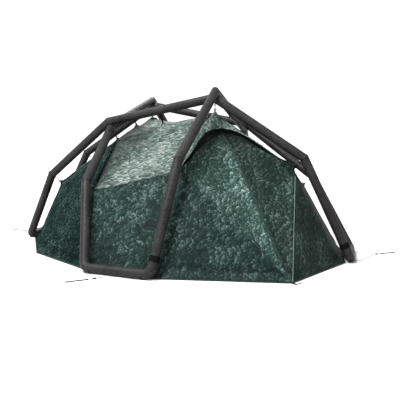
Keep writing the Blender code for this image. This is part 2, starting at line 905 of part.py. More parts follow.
def build_groundsheet(corners):
    """The groundsheet, cut to the hem's outline inside the fly."""
    top = gap + groundsheet_thickness
    outline, distances = [], []
    for sx, sy, first in ((1, 1, "side"), (-1, 1, "end"), (-1, -1, "side"), (1, -1, "end")):
        signs = {"side": sx, "end": sy}
        last = "end" if first == "side" else "side"
        tip, hem = (f"{first}_tip", signs[first]), (f"{first}_hem", sx, sy)
        other_hem, other_tip = (f"{last}_hem", sx, sy), (f"{last}_tip", signs[last])
        shoulders = [(f"{first}_shoulder", sx, sy), ("side_shoulder", sx, sy), (f"{last}_shoulder", sx, sy)]
        for start, stop, shoulder in zip((tip, hem, other_hem), (hem, other_hem, other_tip), shoulders):
            wall = outward_normal([corners[start], corners[stop], corners[shoulder]])
            level = Vector((wall.x, wall.y, 0)).length
            outline.append(corners[start] + UP * top)
            distances.append((fly_thickness + gap + top * wall.z) / level)
    shape = Shape()
    add_sheet(shape, draw_in(outline, UP, distances), UP, groundsheet_thickness)
    return shape.build("groundsheet", "groundsheet")


# Hangers, ties and webbing

def surface_of(objects):
    """A search tree of several objects' outer faces."""
    points, faces = [], []
    for made in objects:
        start = len(points)
        points += [made.matrix_world @ vertex.co for vertex in made.data.vertices]
        faces += [tuple(start + corner for corner in polygon.vertices) for polygon in made.data.polygons]
    return BVHTree.FromPolygons(points, faces)


def join_hanger(piece, label, start, target, surface):
    """Sews an elastic loop to the fly, from a point of it towards a tube's centre line."""
    way = (target - start).normalized()
    across = way.orthogonal().normalized()
    places = circle(start + way * hanger_radius, way, across, 2 * hanger_tip_radius, hanger_sides)
    hits = [surface.ray_cast(place, way)[3] for place in places]
    length = hanger_radius + min(hit for hit in hits if hit is not None) - gap
    root = fly_thickness / 2
    profile = [
        (hanger_radius, -root),
        (hanger_radius, length - min(hanger_taper, length / 2)),
        (hanger_tip_radius, length),
    ]
    shape = Shape()
    shape.turned(profile, start, way, hanger_sides, closed=False)
    combine(piece, shape.build(f"{label}_of_{piece.name}", "elastic"), "UNION")


def sewn_at(corners, name, towards):
    """Where a hanger is sewn: inside its own piece of cloth, beside a corner that it shares with others."""
    corner = corners[name]
    return corner + (corners[towards] - corner).normalized() * hanger_inset


def hang_fly(fly, corners, surface):
    """The loops that hang the fly from the crossings, the roof tubes and the knees, and the hem's ties."""
    roof = fly["roof_top"]
    for side in (-1, 1):
        for kind, crossing in (("side", side_crossing(side)), ("end", end_crossing(side))):
            start = sewn_at(corners, (f"{kind}_peak", side), ("centre",))
            join_hanger(roof, f"{kind}_loop{side}", start, crossing, surface)
    for name, (sx, sy) in quadrants.items():
        wall = fly[f"wall_{name}"]
        middle = (side_crossing(sx) + end_crossing(sy)) / 2
        join_hanger(roof, f"{name}_loop", sewn_at(corners, ("mid", sx, sy), ("centre",)), middle, surface)
        knees = {"side": side_knee(sx, sy), "end": end_knee(sx, sy)}
        feet = {"side": side_foot(sx, sy), "end": end_foot(sx, sy)}
        for kind in ("side", "end"):
            shoulder, hem = corners[f"{kind}_shoulder", sx, sy], corners[f"{kind}_hem", sx, sy]
            start = sewn_at(corners, (f"{kind}_shoulder", sx, sy), (f"{kind}_hem", sx, sy))
            join_hanger(wall, f"{kind}_knee_loop", start, knees[kind], surface)
            start = hem.lerp(shoulder, tie_height / shoulder.z)
            join_hanger(wall, f"{kind}_tie", start, feet[kind], surface)


def guy_loop(foot, other_foot):
    """Place on the centre line and outward direction of the webbing loop near the foot of a ground tube."""
    along = (other_foot - foot).normalized()
    outward = UP.cross(along)
    if outward.dot(foot) < 0:
        outward = -outward
    start = foot + along * foot_bend_radius
    return Vector((start.x, start.y, loop_height)), outward


def join_guy_loops(sleeve, sx, sy):
    """Sews the two webbing loops to a ground tube, and returns the far end and the direction of each."""
    ends = {}
    feet = {"side": side_foot(sx, sy), "end": end_foot(sx, sy)}
    for kind, other in (("side", "end"), ("end", "side")):
        place, outward = guy_loop(feet[kind], feet[other])
        sink = tube_radius - loop_sink
        middle = place + outward * (sink + loop_length / 2)
        shape = Shape()
        shape.block(middle, outward, UP.cross(outward), (loop_length, loop_width, loop_thickness))
        combine(sleeve, shape.build(f"{kind}_guy_loop_of_{sleeve.name}", "webbing"), "UNION")
        ends[kind] = (place + outward * (sink + loop_length + gap), outward)
    return ends


# Guy lines, runners and pegs

def cord_points(route):
    """A smooth route through a few places, as evenly spaced points."""
    points = []
    for index in range(len(route) - 1):
        start, stop = route[index], route[index + 1]
        before = route[index - 1] if index > 0 else start
        after = route[index + 2] if index + 2 < len(route) else stop
        steps = max(2, math.ceil((stop - start).length / cord_spacing))
        lead, trail = (stop - before) / 2, (after - start) / 2
        for step in range(steps):
            t = step / steps
            points.append(
                start * (2 * t ** 3 - 3 * t ** 2 + 1) + lead * (t ** 3 - 2 * t ** 2 + t)
                + stop * (3 * t ** 2 - 2 * t ** 3) + trail * (t ** 3 - t ** 2))
    points.append(route[-1])
    return points


def build_cord(name, points):
    curve = bpy.data.curves.new(name, "CURVE")
    curve.dimensions = "3D"
    curve.bevel_depth = cord_radius
    curve.bevel_resolution = cord_bevel_resolution
    curve.use_fill_caps = True
    spline = curve.splines.new("POLY")
    spline.points.add(len(points) - 1)
    for place, point in zip(spline.points, points):
        place.co = (*point, 1)
    made = bpy.data.objects.new(name, curve)
    made.data.materials.append(material("cord"))
    bpy.context.scene.collection.objects.link(made)
    length = sum((b - a).length for a, b in zip(points, points[1:]))
    print(f"cord {name}: {length:.3f} m")
    return made


def guy_frame(name):
    """The bridle's apex, the peg's head and the way from one to the other, on the ground."""
    apex_place, head_place = guy_places[name]
    apex = Vector((*apex_place, runner_radius))
    head = Vector((*head_place, runner_radius))
    return apex, head, (head - apex).normalized()


def build_guy_line(name, ends):
    """The bridle between the two loops of a ground tube, and the single line from its apex to the peg."""
    apex, head, way = guy_frame(name)
    (first, first_way), (second, second_way) = ends["side"], ends["end"]
    leave, arrive = first + first_way * loop_lead, second + second_way * loop_lead
    route = [first + first_way * loop_stub, leave, leave.lerp(apex, 0.5), apex]
    route += [arrive.lerp(apex, 0.5), arrive, second + second_way * loop_stub]
    bridle = [first, *cord_points(route), second]
    build_cord(f"bridle_{name}", bridle)
    reach, clear = 0, 0
    while clear < cord_radius + gap:
        reach += gap / 4
        rim = circle(apex + way * reach, way, UP, cord_radius, runner_sides)
        clear = min(distance_to(point, bridle) for point in rim)
    start = apex + way * reach
    stop = head - way * (peg_head_radius + gap)
    build_cord(f"guy_line_{name}", cord_points([start, start.lerp(stop, 0.5), stop]))


def build_runner(name, quadrant):
    """The line runner, a short sleeve that slides along the guy line."""
    apex, head, way = guy_frame(quadrant)
    bore = cord_radius + slide_clearance
    centre = (apex + head) / 2
    half = runner_length / 2
    shape = Shape()
    profile = [(bore, -half), (runner_radius, -half), (runner_radius, half), (bore, half)]
    shape.turned(profile, centre, way, runner_sides)
    return shape.build(name, "plastic", origin=centre)


def peg_shape(head, way, length):
    """A peg lying on the ground: a pointed shaft that grows out of a round head."""
    lying = Vector((head.x, head.y, 0))
    across = UP.cross(way)
    shape = Shape()
    profile = [(peg_head_radius, 0), (peg_head_radius, 2 * peg_radius)]
    shape.turned(profile, lying, UP, peg_sides + 2, closed=False)
    shaft = Shape()
    tip = hanger_tip_radius
    places = [(0, peg_radius - gap), (length - 3 * peg_head_radius, peg_radius - gap), (length, tip)]
    rings = []
    for place, half in places:
        centre = lying + UP * peg_radius + way * place
        signs = [(1, 1), (-1, 1), (-1, -1), (1, -1)]
        rings.append([centre + across * half * a + UP * half * b for a, b in signs])
    shaft.loft(rings)
    return shape, shaft


def build_peg(name, quadrant):
    _, head, way = guy_frame(quadrant)
    shape, shaft = peg_shape(head, way, peg_length)
    peg = shape.build(name, "metal", origin=Vector((head.x, head.y, 0)))
    combine(peg, shaft.build(f"shaft_of_{name}", "metal"), "UNION")
    return peg


def build_tip_anchor(name, corners, sy):
    """The strap at the foot of a door, on the ground, with a short peg through its end."""
    tip = corners["end_tip", sy]
    outward = tip.normalized()
    across = UP.cross(outward)
    strap = Shape()
    reach = tip_strap_length + peg_head_radius
    middle = tip + outward * (gap + reach / 2) + UP * (gap + tip_strap_thickness / 2)
    strap.block(middle, outward, across, (reach, tip_strap_width, tip_strap_thickness))
    head = tip + outward * (gap + tip_strap_length + peg_head_radius)
    way = Matrix.Rotation(math.radians(tip_peg_turn_deg), 3, "Z") @ across
    shape, shaft = peg_shape(head, way, tip_peg_length)
    anchor = shape.build(name, "webbing")
    combine(anchor, shaft.build(f"shaft_of_{name}", "metal"), "UNION")
    combine(anchor, strap.build(f"strap_of_{name}", "webbing"), "UNION")
    return anchor


# The whole tent

def build_tent():
    clear_scene()
    sleeves, loop_ends = [], {}
    for name, (sx, sy) in quadrants.items():
        stations = beam_stations(sx, sy)
        sleeve = build_sleeve(f"beam_sleeve_{name}", stations)
        bladder = build_bladder(f"beam_bladder_{name}", stations)
        sleeves.append(sleeve)
        cut_valve_hole(sleeve, -sx, -sy)
        cut_valve_hole(bladder, -sx, -sy)
    surface = surface_of(sleeves)
    for name, (sx, sy) in quadrants.items():
        across = next(key for key, signs in quadrants.items() if signs == (-sx, -sy))
        sleeve = bpy.data.objects[f"beam_sleeve_{across}"]
        loop_ends[name] = join_guy_loops(sleeve, sx, sy)
        build_cuff(f"beam_join_cuff_{name}", sx, sy)
        build_valve(f"inflation_valve_{name}", sx, sy)
        build_valve_cap(f"valve_cap_{name}", sx, sy)
    corners = fly_corners()
    pieces = fly_pieces(corners)
    inner = inner_corners(corners, pieces)
    fly = build_fly(corners, pieces, inner)
    hang_fly(fly, corners, surface)
    for end, sy in door_ends.items():
        build_hood(f"{end}_hood", corners, sy)
        build_door_vent(f"{end}_door_vent", corners, sy)
        build_slider(f"{end}_zip_slider", corners, sy)
        build_tip_anchor(f"{end}_tip_anchor", corners, sy)
    build_groundsheet(corners)
    for name in quadrants:
        build_guy_line(name, loop_ends[name])
        build_runner(f"line_runner_{name}", name)
        build_peg(f"peg_{name}", name)


build_tent()
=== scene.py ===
"""Looks of the inflatable tent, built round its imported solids. Metres, +Z up, as in the part."""

import math
from collections import Counter, namedtuple

import bmesh
import bpy
import numpy as np
from mathutils import Matrix, Vector, noise


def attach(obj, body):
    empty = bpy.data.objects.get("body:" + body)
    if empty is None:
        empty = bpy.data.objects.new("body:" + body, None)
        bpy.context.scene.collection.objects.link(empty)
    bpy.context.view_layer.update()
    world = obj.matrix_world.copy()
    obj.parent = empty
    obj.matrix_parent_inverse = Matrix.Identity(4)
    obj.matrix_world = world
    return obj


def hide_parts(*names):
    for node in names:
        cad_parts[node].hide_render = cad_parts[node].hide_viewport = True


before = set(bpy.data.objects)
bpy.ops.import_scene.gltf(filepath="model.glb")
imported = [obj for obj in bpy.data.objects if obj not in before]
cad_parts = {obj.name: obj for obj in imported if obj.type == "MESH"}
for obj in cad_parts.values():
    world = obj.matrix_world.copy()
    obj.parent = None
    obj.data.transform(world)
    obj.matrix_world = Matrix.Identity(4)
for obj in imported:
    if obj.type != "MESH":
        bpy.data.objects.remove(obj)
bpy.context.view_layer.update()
body = "tent"
UP = Vector((0, 0, 1))
quadrants = {"front_left": (-1, -1), "front_right": (1, -1), "back_left": (-1, 1), "back_right": (1, 1)}
door_ends = {"front": -1, "back": 1}
door_sides = {"left": -1, "right": 1}

# Sizes of the part: beams
tube_radius = 0.034
ground_axis_height = tube_radius * math.cos(math.pi / 8)
side_crossing_out, side_crossing_height = 0.622, 1.023
end_crossing_out, end_crossing_height = 0.674, 1.240
crossing_offset = 0.023
knee_places = {"side": (0.978, 0.555, 0.594), "end": (0.502, 1.153, 0.766)}
foot_places = {"side": (1.099, 0.933, ground_axis_height), "end": (0.782, 1.361, ground_axis_height)}
foot_bend_radius = 0.060
cuff_distance, cuff_length = 0.105, 0.040

# Sizes of the part: fly
side_peak_inset, side_peak_drop = 0.058, 0.113
end_peak_outset, end_peak_drop = 0.003, 0.118
mid_inset = Vector((0.022, 0.019, 0.0955))
roof_centre_height = 1.030
shoulder_insets = {"side": Vector((0.058, 0.027, 0.053)), "end": Vector((0.041, 0.056, 0.061))}
hem_insets = {"side": Vector((0.031, 0.042, 0)), "end": Vector((0.041, 0.011, 0))}
side_tip_out, end_tip_out = 1.235, 1.817
door_top_out, door_top_height = 0.800, 0.950
door_ridge_out, door_ridge_height = 0.955, 0.868
door_hinge_start_share, door_shoulder_share = 0.10, 0.20
door_arch_rise, door_arch_steps = 0.030, 3
hood_corner_share, hood_arch_share, hood_arch_pull_share, hood_arch_steps = 0.08, 0.34, 0.75, 6
vent_recess, vent_depth_share, vent_side_inset = 0.045, 0.78, 0.012

# Sizes of the part: cords and pegs
cord_radius = 0.0015
cord_spacing = 0.045
runner_radius = 0.0045
peg_head_radius = 0.0065
loop_length, loop_width, loop_height, loop_sink = 0.020, 0.010, 0.012, 0.0095
loop_stub, loop_lead = 0.006, 0.030
tip_strap_length = 0.034
guy_places = {
    "front_left": ((-1.052, -1.172), (-1.150, -1.190)),
    "front_right": ((1.170, -1.125), (1.262, -1.115)),
    "back_left": ((-1.040, 1.330), (-1.090, 1.420)),
    "back_right": ((1.052, 1.172), (1.140, 1.220)),
}
clearance = 0.0003

# Looks: beams
beam_sides = 28
press_space = 0.0014
press_step_share, press_reach_share = 0.22, 2.6
knee_lip, knee_lip_reach = 0.035, 0.0035
knee_pinch, knee_pinch_place, knee_pinch_reach = 0.030, 0.013, 0.009
knee_bend_reach, soft_bend, soft_bend_reach = 0.07, 0.8, 0.06
wrinkle_share, wrinkle_bend_share = 0.007, 0.018
wrinkles_round, wrinkles_along = 2.2, 26
bend_steps, run_step = 7, 0.055
seam_radius, seam_lift, seam_sides = 0.0013, 0.0004, 32
cuff_sides, cuff_space, cuff_thickness, cuff_crown = 44, 0.0003, 0.0019, 0.0003
cuff_edge = [(-cuff_thickness, 0), (-0.0002, 0), (0.0004, 0.0015), (0, 0.004), (-0.0004, 0.0055), (0, 0.007)]
press_steps = int(press_reach_share / press_step_share)
near_steps = {
    "knee": [0.0030, 0.0065, 0.011, 0.018, 0.030, 0.048, 0.075],
    "crossing": [press_step_share * tube_radius * k for k in range(1, press_steps + 1)],
    "bend": [0.02, 0.05],
    "end": [0.02],
}

# Looks: fly
cloth_step, cloth_thickness = 0.026, 0.0009
relax_rounds = 60
face_pull, ridge_pull = 0.45, 0.20
inward_pull = 0.00022
hood_follow_reach = 0.12
belly_depth, belly_top, belly_top_ease, belly_low_ease = 0.016, 0.86, 0.15, 0.12
fold_depth, fold_reach, fold_count = 0.0042, 0.24, 13
fold_start, fold_growth = 0.015, 0.07
wide_wave, wide_scale, small_wave, small_scale = 0.0042, 3.1, 0.0016, 11.0
# The hem folds, with painted shade in their hollows
hem_fold_depth, hem_fold_height, hem_fold_wave, hem_fold_painted_shading = 0.0220, 0.070, 0.080, 0.75
ridge_fold_share = 0.35
# Painted shade on the roof corners, painted light and shade on the door flaps, painted shade under the hoods
# and on two walls
corner_shade, corner_soft, corner_edge, corner_ragged, corner_ease = 0.62, 0.018, 0.01, 0.05, 0.08
door_painted_light, door_painted_highlight, door_stripe_place, door_stripe_width, door_painted_shade = 1.35, 0.50, 0.03, 0.085, 0.80
hood_shade, hood_shade_top, hood_shade_reach = 0.55, 0.89, 0.20
wall_shade, wall_shade_start, wall_shade_reach = 0.30, 0.60, 0.40
end_panel_out, end_panel_slant = 0.5, 0.55
# The band of near-black painted shadow across the flaps' tops, under the hoods
band_half_width, band_height, band_dip, band_curve, band_soft = 0.36, 0.935, 0.01, 0.15, 0.05
vent_steps, vent_belly, vent_rough, vent_thickness = 14, 0.012, 0.002, 0.0005
sheet_share, sheet_steps, sheet_height, sheet_rough, sheet_thickness = 0.9968, 18, 0.0009, 0.0006, 0.0002
hem_tape_height, hem_tape_out, hem_tape_width, hem_tape_thickness = 0.0060, 0.0016, 0.0105, 0.0010
zip_tape_out, zip_tape_lift, zip_tape_width, zip_tape_thickness = 0.0045, 0.0008, 0.0080, 0.0008
roof_seam_radius, roof_seam_lift = 0.0020, 0.0002
crease_lift, crease_least_height = 0.0008, 0.0022
crease_piping_radius, crease_seam_radius = 0.0022, 0.0012
hood_binding_radius, flap_binding_radius, binding_lift = 0.0020, 0.0018, 0.0004

# Looks: hangers, ties, loops and pegs
skin_lift = 0.0008
tab_length, tab_share, tab_root, tab_inward = 0.018, 0.3, 0.004, 0.012
tab_width, tab_thickness = 0.012, 0.0014
elastic_radius, elastic_spread = 0.0009, 0.0028
hook_share, hook_size, hook_size_share, hook_radius, hook_open = 0.48, 0.007, 0.14, 0.0014, 0.93
beam_tab_lap, beam_tab_sink, beam_tab_width, beam_tab_thickness = 0.003, 0.001, 0.009, 0.0012
tie_height, tie_least, tie_root, tie_width, tie_thickness = 0.018, 0.004, 0.002, 0.008, 0.0012
loop_thickness, loop_half_height, loop_root, loop_trim, loop_steps = 0.0010, 0.0022, 0.002, 0.0028, 8
guy_start = 0.0020
strap_steps, strap_width, strap_thickness, strap_height, strap_rise = 8, 0.014, 0.0013, 0.0016, 0.0020
strap_root, strap_over = 0.001, 0.004
peg_turn_deg, peg_length, peg_radius, peg_height, peg_tip_share = 25, 0.086, 0.0022, 0.0032, 0.25
eye_radius, eye_thickness = 0.0046, 0.0016
solid_edge = 0.0004

# Floor
floor_reach, floor_drop = 30, 0.0004

# Camera, as fitted to the photograph
camera_place = (-2.320, -5.495, 0.900)
camera_target = (0.0, -0.427, 0.372)
camera_lens = 60.91
camera_roll_deg = 0.245


# Small helpers

def linked(name, data):
    made = bpy.data.objects.new(name, data)
    bpy.context.scene.collection.objects.link(made)
    return made


def new_object(name, points, faces, looks):
    mesh = bpy.data.meshes.new(name)
    mesh.from_pydata([tuple(point) for point in points], [], faces)
    for look in looks:
        mesh.materials.append(look)
    mesh.shade_smooth()
    return linked(name, mesh)


def faced_out(piece):
    work = bmesh.new()
    work.from_mesh(piece.data)
    bmesh.ops.recalc_face_normals(work, faces=work.faces)
    work.to_mesh(piece.data)
    work.free()


def thicken(piece, thickness):
    piece.modifiers.new("thickness", "SOLIDIFY").thickness = thickness


def settle(piece, nodes=(), on=body):
    """Rides a piece on its body and hides the nodes that it stands for."""
    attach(piece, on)
    if nodes:
        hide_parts(*nodes)


def runs_along(points):
    """For each point, its run's direction, a side carried along without twist, and its mitre's direction."""
    directions = [(after - before).normalized() for before, after in zip(points, points[1:])]
    sides = [directions[0].orthogonal().normalized()]
    for before, after in zip(directions, directions[1:]):
        across = before.rotation_difference(after) @ sides[-1]
        sides.append((across - after * across.dot(after)).normalized())
    mitres = [(before + after).normalized() for before, after in zip(directions, directions[1:])]
    return zip(directions + directions[-1:], sides + sides[-1:], [directions[0], *mitres, directions[-1]])


def spoke(across, side, step, sides):
    """One of the evenly spread points of a ring, from its middle."""
    angle = math.tau * step / sides
    return across * math.cos(angle) + side * math.sin(angle)


def mitred(offset, direction, cut):
    """Moves a ring's point along its run, onto the mitre."""
    return offset - direction * (offset.dot(cut) / direction.dot(cut))


def shell(name, points, sides, look, sharp_deg, closed=False):
    """A mesh over rings of points, with its two ends capped or joined to each other."""
    rows = len(points) // sides
    faces = []
    for row in range(rows if closed else rows - 1):
        low, high = row * sides, (row + 1) % rows * sides
        for corner in range(sides):
            after = (corner + 1) % sides
            faces.append((low + corner, low + after, high + after, high + corner))
    if not closed:
        faces += [tuple(range(sides))[::-1], tuple(range((rows - 1) * sides, rows * sides))]
    made = new_object(name, points, faces, [look])
    made.data.set_sharp_from_angle(angle=math.radians(sharp_deg))
    return made


def tube(name, points, radius, sides, look, tip_share=1):
    """A closed round tube along points, as a mesh, with its last ring at a share of the radius."""
    rings = []
    for index, (point, (direction, across, cut)) in enumerate(zip(points, runs_along(points))):
        size = radius * (tip_share if index == len(points) - 1 else 1)
        side = direction.cross(across)
        for step in range(sides):
            offset = spoke(across, side, step, sides) * size
            rings.append(point + mitred(offset, direction, cut))
    return shell(name, rings, sides, look, 50)


def ribbon(name, points, normals, width, thickness, look):
    """A flat strap along points, lying square to the normals."""
    rows = []
    for point, normal, (_, _, direction) in zip(points, normals, runs_along(points)):
        across = direction.cross(normal).normalized()
        up = across.cross(direction)
        for a, b in ((-1, -1), (1, -1), (1, 1), (-1, 1)):
            rows.append(point + across * width / 2 * a + up * thickness / 2 * b)
    made = shell(name, rows, 4, look, 40)
    faced_out(made)
    return made


def join(name, objects):
    """Several meshes as one piece."""
    points, faces, looks = [], [], []
    for made in objects:
        start = len(points)
        points += [vertex.co.copy() for vertex in made.data.vertices]
        for polygon in made.data.polygons:
            faces.append(tuple(start + corner for corner in polygon.vertices))
            looks.append(made.data.materials[polygon.material_index])
        bpy.data.objects.remove(made, do_unlink=True)
    unique = list(dict.fromkeys(looks))
    joined = new_object(name, points, faces, unique)
    for polygon, look in zip(joined.data.polygons, looks):
        polygon.material_index = unique.index(look)
    joined.data.set_sharp_from_angle(angle=math.radians(50))
    return joined


def farthest(passes, rounds):
    """The largest share from 0 to 1 that still passes a test."""
    low, high = 0.0, 1.0
    for _ in range(rounds):
        middle = (low + high) / 2
        low, high = (middle, high) if passes(middle) else (low, middle)
    return low


# Materials

class Nodes:
    """The node tree of a material or a world, with one short call for each node."""

    def __init__(self, owner):
        owner.use_nodes = True
        self.owner, self.tree = owner, owner.node_tree

    def put(self, node, inputs):
        for key, value in dict(inputs).items():
            if isinstance(value, bpy.types.NodeSocket):
                self.tree.links.new(value, node.inputs[key])
            else:
                node.inputs[key].default_value = value

    def node(self, kind, inputs=(), **settings):
        made = self.tree.nodes.new(kind)
        for key, value in settings.items():
            setattr(made, key, value)
        self.put(made, inputs)
        return made

    def finish(self, inputs, shader="Principled BSDF"):
        """Sets or links the shader's own inputs."""
        self.put(self.tree.nodes[shader], inputs)
        return self.owner

    def coords(self, kind="Object", scale=(1, 1, 1), turn=(0, 0, 0)):
        source = self.node("ShaderNodeTexCoord").outputs[kind]
        turn = tuple(math.radians(angle) for angle in turn)
        return self.node("ShaderNodeMapping", {"Vector": source, "Scale": scale, "Rotation": turn}).outputs[0]

    def noise(self, vector, scale, detail=2.0, roughness=0.5, output="Fac"):
        inputs = {"Vector": vector, "Scale": scale, "Detail": detail, "Roughness": roughness}
        return self.node("ShaderNodeTexNoise", inputs).outputs[output]

    def wave(self, vector, scale, direction, distortion=0.0):
        inputs = {"Vector": vector, "Scale": scale, "Distortion": distortion}
        return self.node("ShaderNodeTexWave", inputs, bands_direction=direction).outputs["Fac"]

    def vector(self, operation, inputs, output=0):
        return self.node("ShaderNodeVectorMath", inputs, operation=operation).outputs[output]

    def facets(self, vector, scale):
        """Flat slanting facets: how high each point lies on its own, and a chance number for each."""
        cells = self.node("ShaderNodeTexVoronoi", {"Vector": vector, "Scale": scale}, distance="MANHATTAN")
        offset = self.vector("SUBTRACT", {0: vector, 1: cells.outputs["Position"]})
        rise = self.vector("DOT_PRODUCT", {0: offset, 1: (-0.42, -0.30, 0.86)}, "Value")
        chance = self.node("ShaderNodeSeparateColor", {"Color": cells.outputs["Color"]})
        return self.maths("MULTIPLY", rise, scale), chance.outputs["Red"]

    def maths(self, operation, first, second, clamp=False):
        made = self.node("ShaderNodeMath", {0: first, 1: second}, operation=operation, use_clamp=clamp)
        return made.outputs[0]

    def total(self, *parts):
        """The sum of some sockets, each times its share."""
        terms = [self.maths("MULTIPLY", socket, share) for socket, share in parts]
        level = terms[0]
        for term in terms[1:]:
            level = self.maths("ADD", level, term)
        return level

    def ramp(self, factor, *stops):
        """Colours, or numbers for greys, at their places."""
        made = self.node("ShaderNodeValToRGB", {"Fac": factor})
        elements = made.color_ramp.elements
        while len(elements) < len(stops):
            elements.new(0.5)
        for element, (place, colour) in zip(elements, stops):
            element.position = place
            element.color = (*(colour if isinstance(colour, tuple) else (colour,) * 3), 1)
        return made.outputs["Color"]

    def mix(self, factor, first, second, blend="MIX"):
        inputs = {0: factor, 6: first, 7: second}
        return self.node("ShaderNodeMix", inputs, data_type="RGBA", blend_type=blend).outputs[2]

    def bump(self, height, strength, distance, normal=None):
        inputs = {"Height": height, "Strength": strength, "Distance": distance}
        if normal is not None:
            inputs["Normal"] = normal
        return self.node("ShaderNodeBump", inputs).outputs[0]

    def weave(self, vector, scale, strength, distance, normal=None):
        """The raised threads of a plain weave, as a bump."""
        threads = [self.wave(vector, scale, direction) for direction in "XY"]
        return self.bump(self.maths("MULTIPLY", *threads), strength, distance, normal)

    def attribute(self, name):
        return self.node("ShaderNodeAttribute", attribute_name=name).outputs["Fac"]


def new_material(name):
    return Nodes(bpy.data.materials.new(name))


def sleeve_material():
    nodes = new_material("woven_sleeve")
    tone = nodes.noise(nodes.coords("UV", scale=(14, 105, 1)), 1.0, 3.0, 0.6)
    patches = nodes.noise(nodes.coords(), 5.0)
    mixed = nodes.total((tone, 0.6), (patches, 0.4))
    crinkle = nodes.bump(nodes.noise(nodes.coords(), 34.0, 3.0, 0.55), 0.50, 0.006)
    crinkle = nodes.bump(tone, 0.45, 0.0025, crinkle)
    return nodes.finish({
        "Base Color": nodes.ramp(mixed, (0.32, 0.010), (0.68, (0.037, 0.0355, 0.035))),
        "Roughness": nodes.ramp(tone, (0.3, 0.40), (0.7, 0.52)),
        "Specular IOR Level": 0.14,
        "Normal": nodes.weave(nodes.coords("UV"), 260.0, 0.25, 0.0004, crinkle)})


def fly_material(name, tones, scale, stretch, turn, mask_scale=3.0, specular=0.08, painted_hood_shadow=False):
    """Cloth printed with small facets, with painted light on each facet's side towards the key lamp, painted
    light and shade from its tone attribute, and a near-black painted shadow under the hood where its band
    says so.
    """
    nodes = new_material(name)
    bent = nodes.coords(scale=stretch, turn=turn)
    shift = nodes.vector("SCALE", {0: nodes.noise(bent, 7.0, 1.0, output="Color"), "Scale": 0.07})
    warped = nodes.vector("ADD", {0: bent, 1: shift})
    slope, chance = nodes.facets(warped, scale)
    small_slope, small_chance = nodes.facets(warped, scale * 2.1)
    mask = nodes.noise(nodes.coords(), mask_scale, 3.0, 0.6)
    # Painted light and shade: the slope terms make each facet lighter on its side towards the key lamp; mask
    # and chance are the print's own tones
    level = nodes.total((mask, 0.70), (chance, 0.16), (slope, 0.30),
                        (small_slope, 0.20), (small_chance, 0.10))
    colour = nodes.ramp(level, *zip((0.32, 0.52, 0.64, 0.80), tones))
    fine = nodes.noise(bent, 110.0, 3.0, 0.6)
    colour = nodes.mix(0.40, colour, nodes.ramp(fine, (0.32, 0.40), (0.66, 1.0)), "MULTIPLY")
    # Painted light and shade from the tone attribute
    colour = nodes.mix(1.0, colour, nodes.attribute("tone"), "MULTIPLY")
    if painted_hood_shadow:
        # Near-black painted shadow under the hood, across the flap's top
        edge = nodes.ramp(nodes.attribute("painted_hood_shadow_band"), (0.42, 0.0), (0.60, 1.0))
        colour = nodes.mix(edge, colour, (0.004, 0.008, 0.007, 1))
    crinkle = nodes.bump(nodes.noise(nodes.coords(), 20.0, 4.0, 0.6), 0.45, 0.006)
    relief = nodes.total((slope, 1.0), (small_slope, 0.6))
    return nodes.finish({"Base Color": colour, "Roughness": 0.58, "Specular IOR Level": specular,
                         "Normal": nodes.bump(relief, 0.45, 0.0022, crinkle)})


def simple_material(name, colour, roughness, scale, distance):
    """A plain finish with a little variation of tone and a fine bump."""
    nodes = new_material(name)
    tone = nodes.noise(nodes.coords(), scale, 3.0, 0.6)
    low, high = (tuple(part * share for part in colour) for share in (0.75, 1.25))
    return nodes.finish({
        "Base Color": nodes.ramp(tone, (0.3, low), (0.7, high)),
        "Roughness": nodes.ramp(tone, (0.3, roughness * 0.9), (0.7, min(1, roughness * 1.1))),
        "Specular IOR Level": 0.25,
        "Normal": nodes.bump(nodes.noise(nodes.coords(), scale * 4), 0.3, distance)})


def webbing_material():
    nodes = new_material("webbing")
    place = nodes.coords()
    return nodes.finish({
        "Base Color": nodes.ramp(nodes.noise(place, 300.0), (0.3, 0.002), (0.7, 0.008)),
        "Roughness": 0.80, "Specular IOR Level": 0.04, "Normal": nodes.weave(place, 350.0, 0.5, 0.0004)})


def cord_material():
    nodes = new_material("braided_cord")
    braid = nodes.wave(nodes.coords(turn=(0, 0, 38)), 160.0, "DIAGONAL", 1.5)
    return nodes.finish({
        "Base Color": nodes.ramp(braid, (0.2, 0.13), (0.8, (0.27, 0.27, 0.26))),
        "Roughness": 0.80, "Specular IOR Level": 0.2, "Normal": nodes.bump(braid, 0.6, 0.0005)})


def mesh_material():
    nodes = new_material("insect_mesh")
    holes = nodes.node("ShaderNodeTexVoronoi", {"Vector": nodes.coords(), "Scale": 420.0}).outputs["Distance"]
    return nodes.finish({
        "Base Color": nodes.ramp(holes, (0.2, (0.002, 0.004, 0.004)), (0.6, (0.012, 0.018, 0.017))),
        "Roughness": 0.85, "Specular IOR Level": 0.08, "Normal": nodes.bump(holes, 0.5, 0.0006)})


def floor_material():
    nodes = new_material("pale_floor")
    spread = nodes.maths("DIVIDE", nodes.vector("LENGTH", {0: nodes.coords()}, "Value"), 12.0, clamp=True)
    # Painted light: the floor is paler and glows more the farther it lies from the middle, so it stays white
    # where the lamps don't reach
    return nodes.finish({
        "Base Color": nodes.ramp(spread, (0.2, 0.73), (0.8, 0.95)), "Roughness": 0.9,
        "Emission Color": nodes.ramp(spread, (0.22, 0.0), (0.75, 0.75)), "Emission Strength": 1.0})


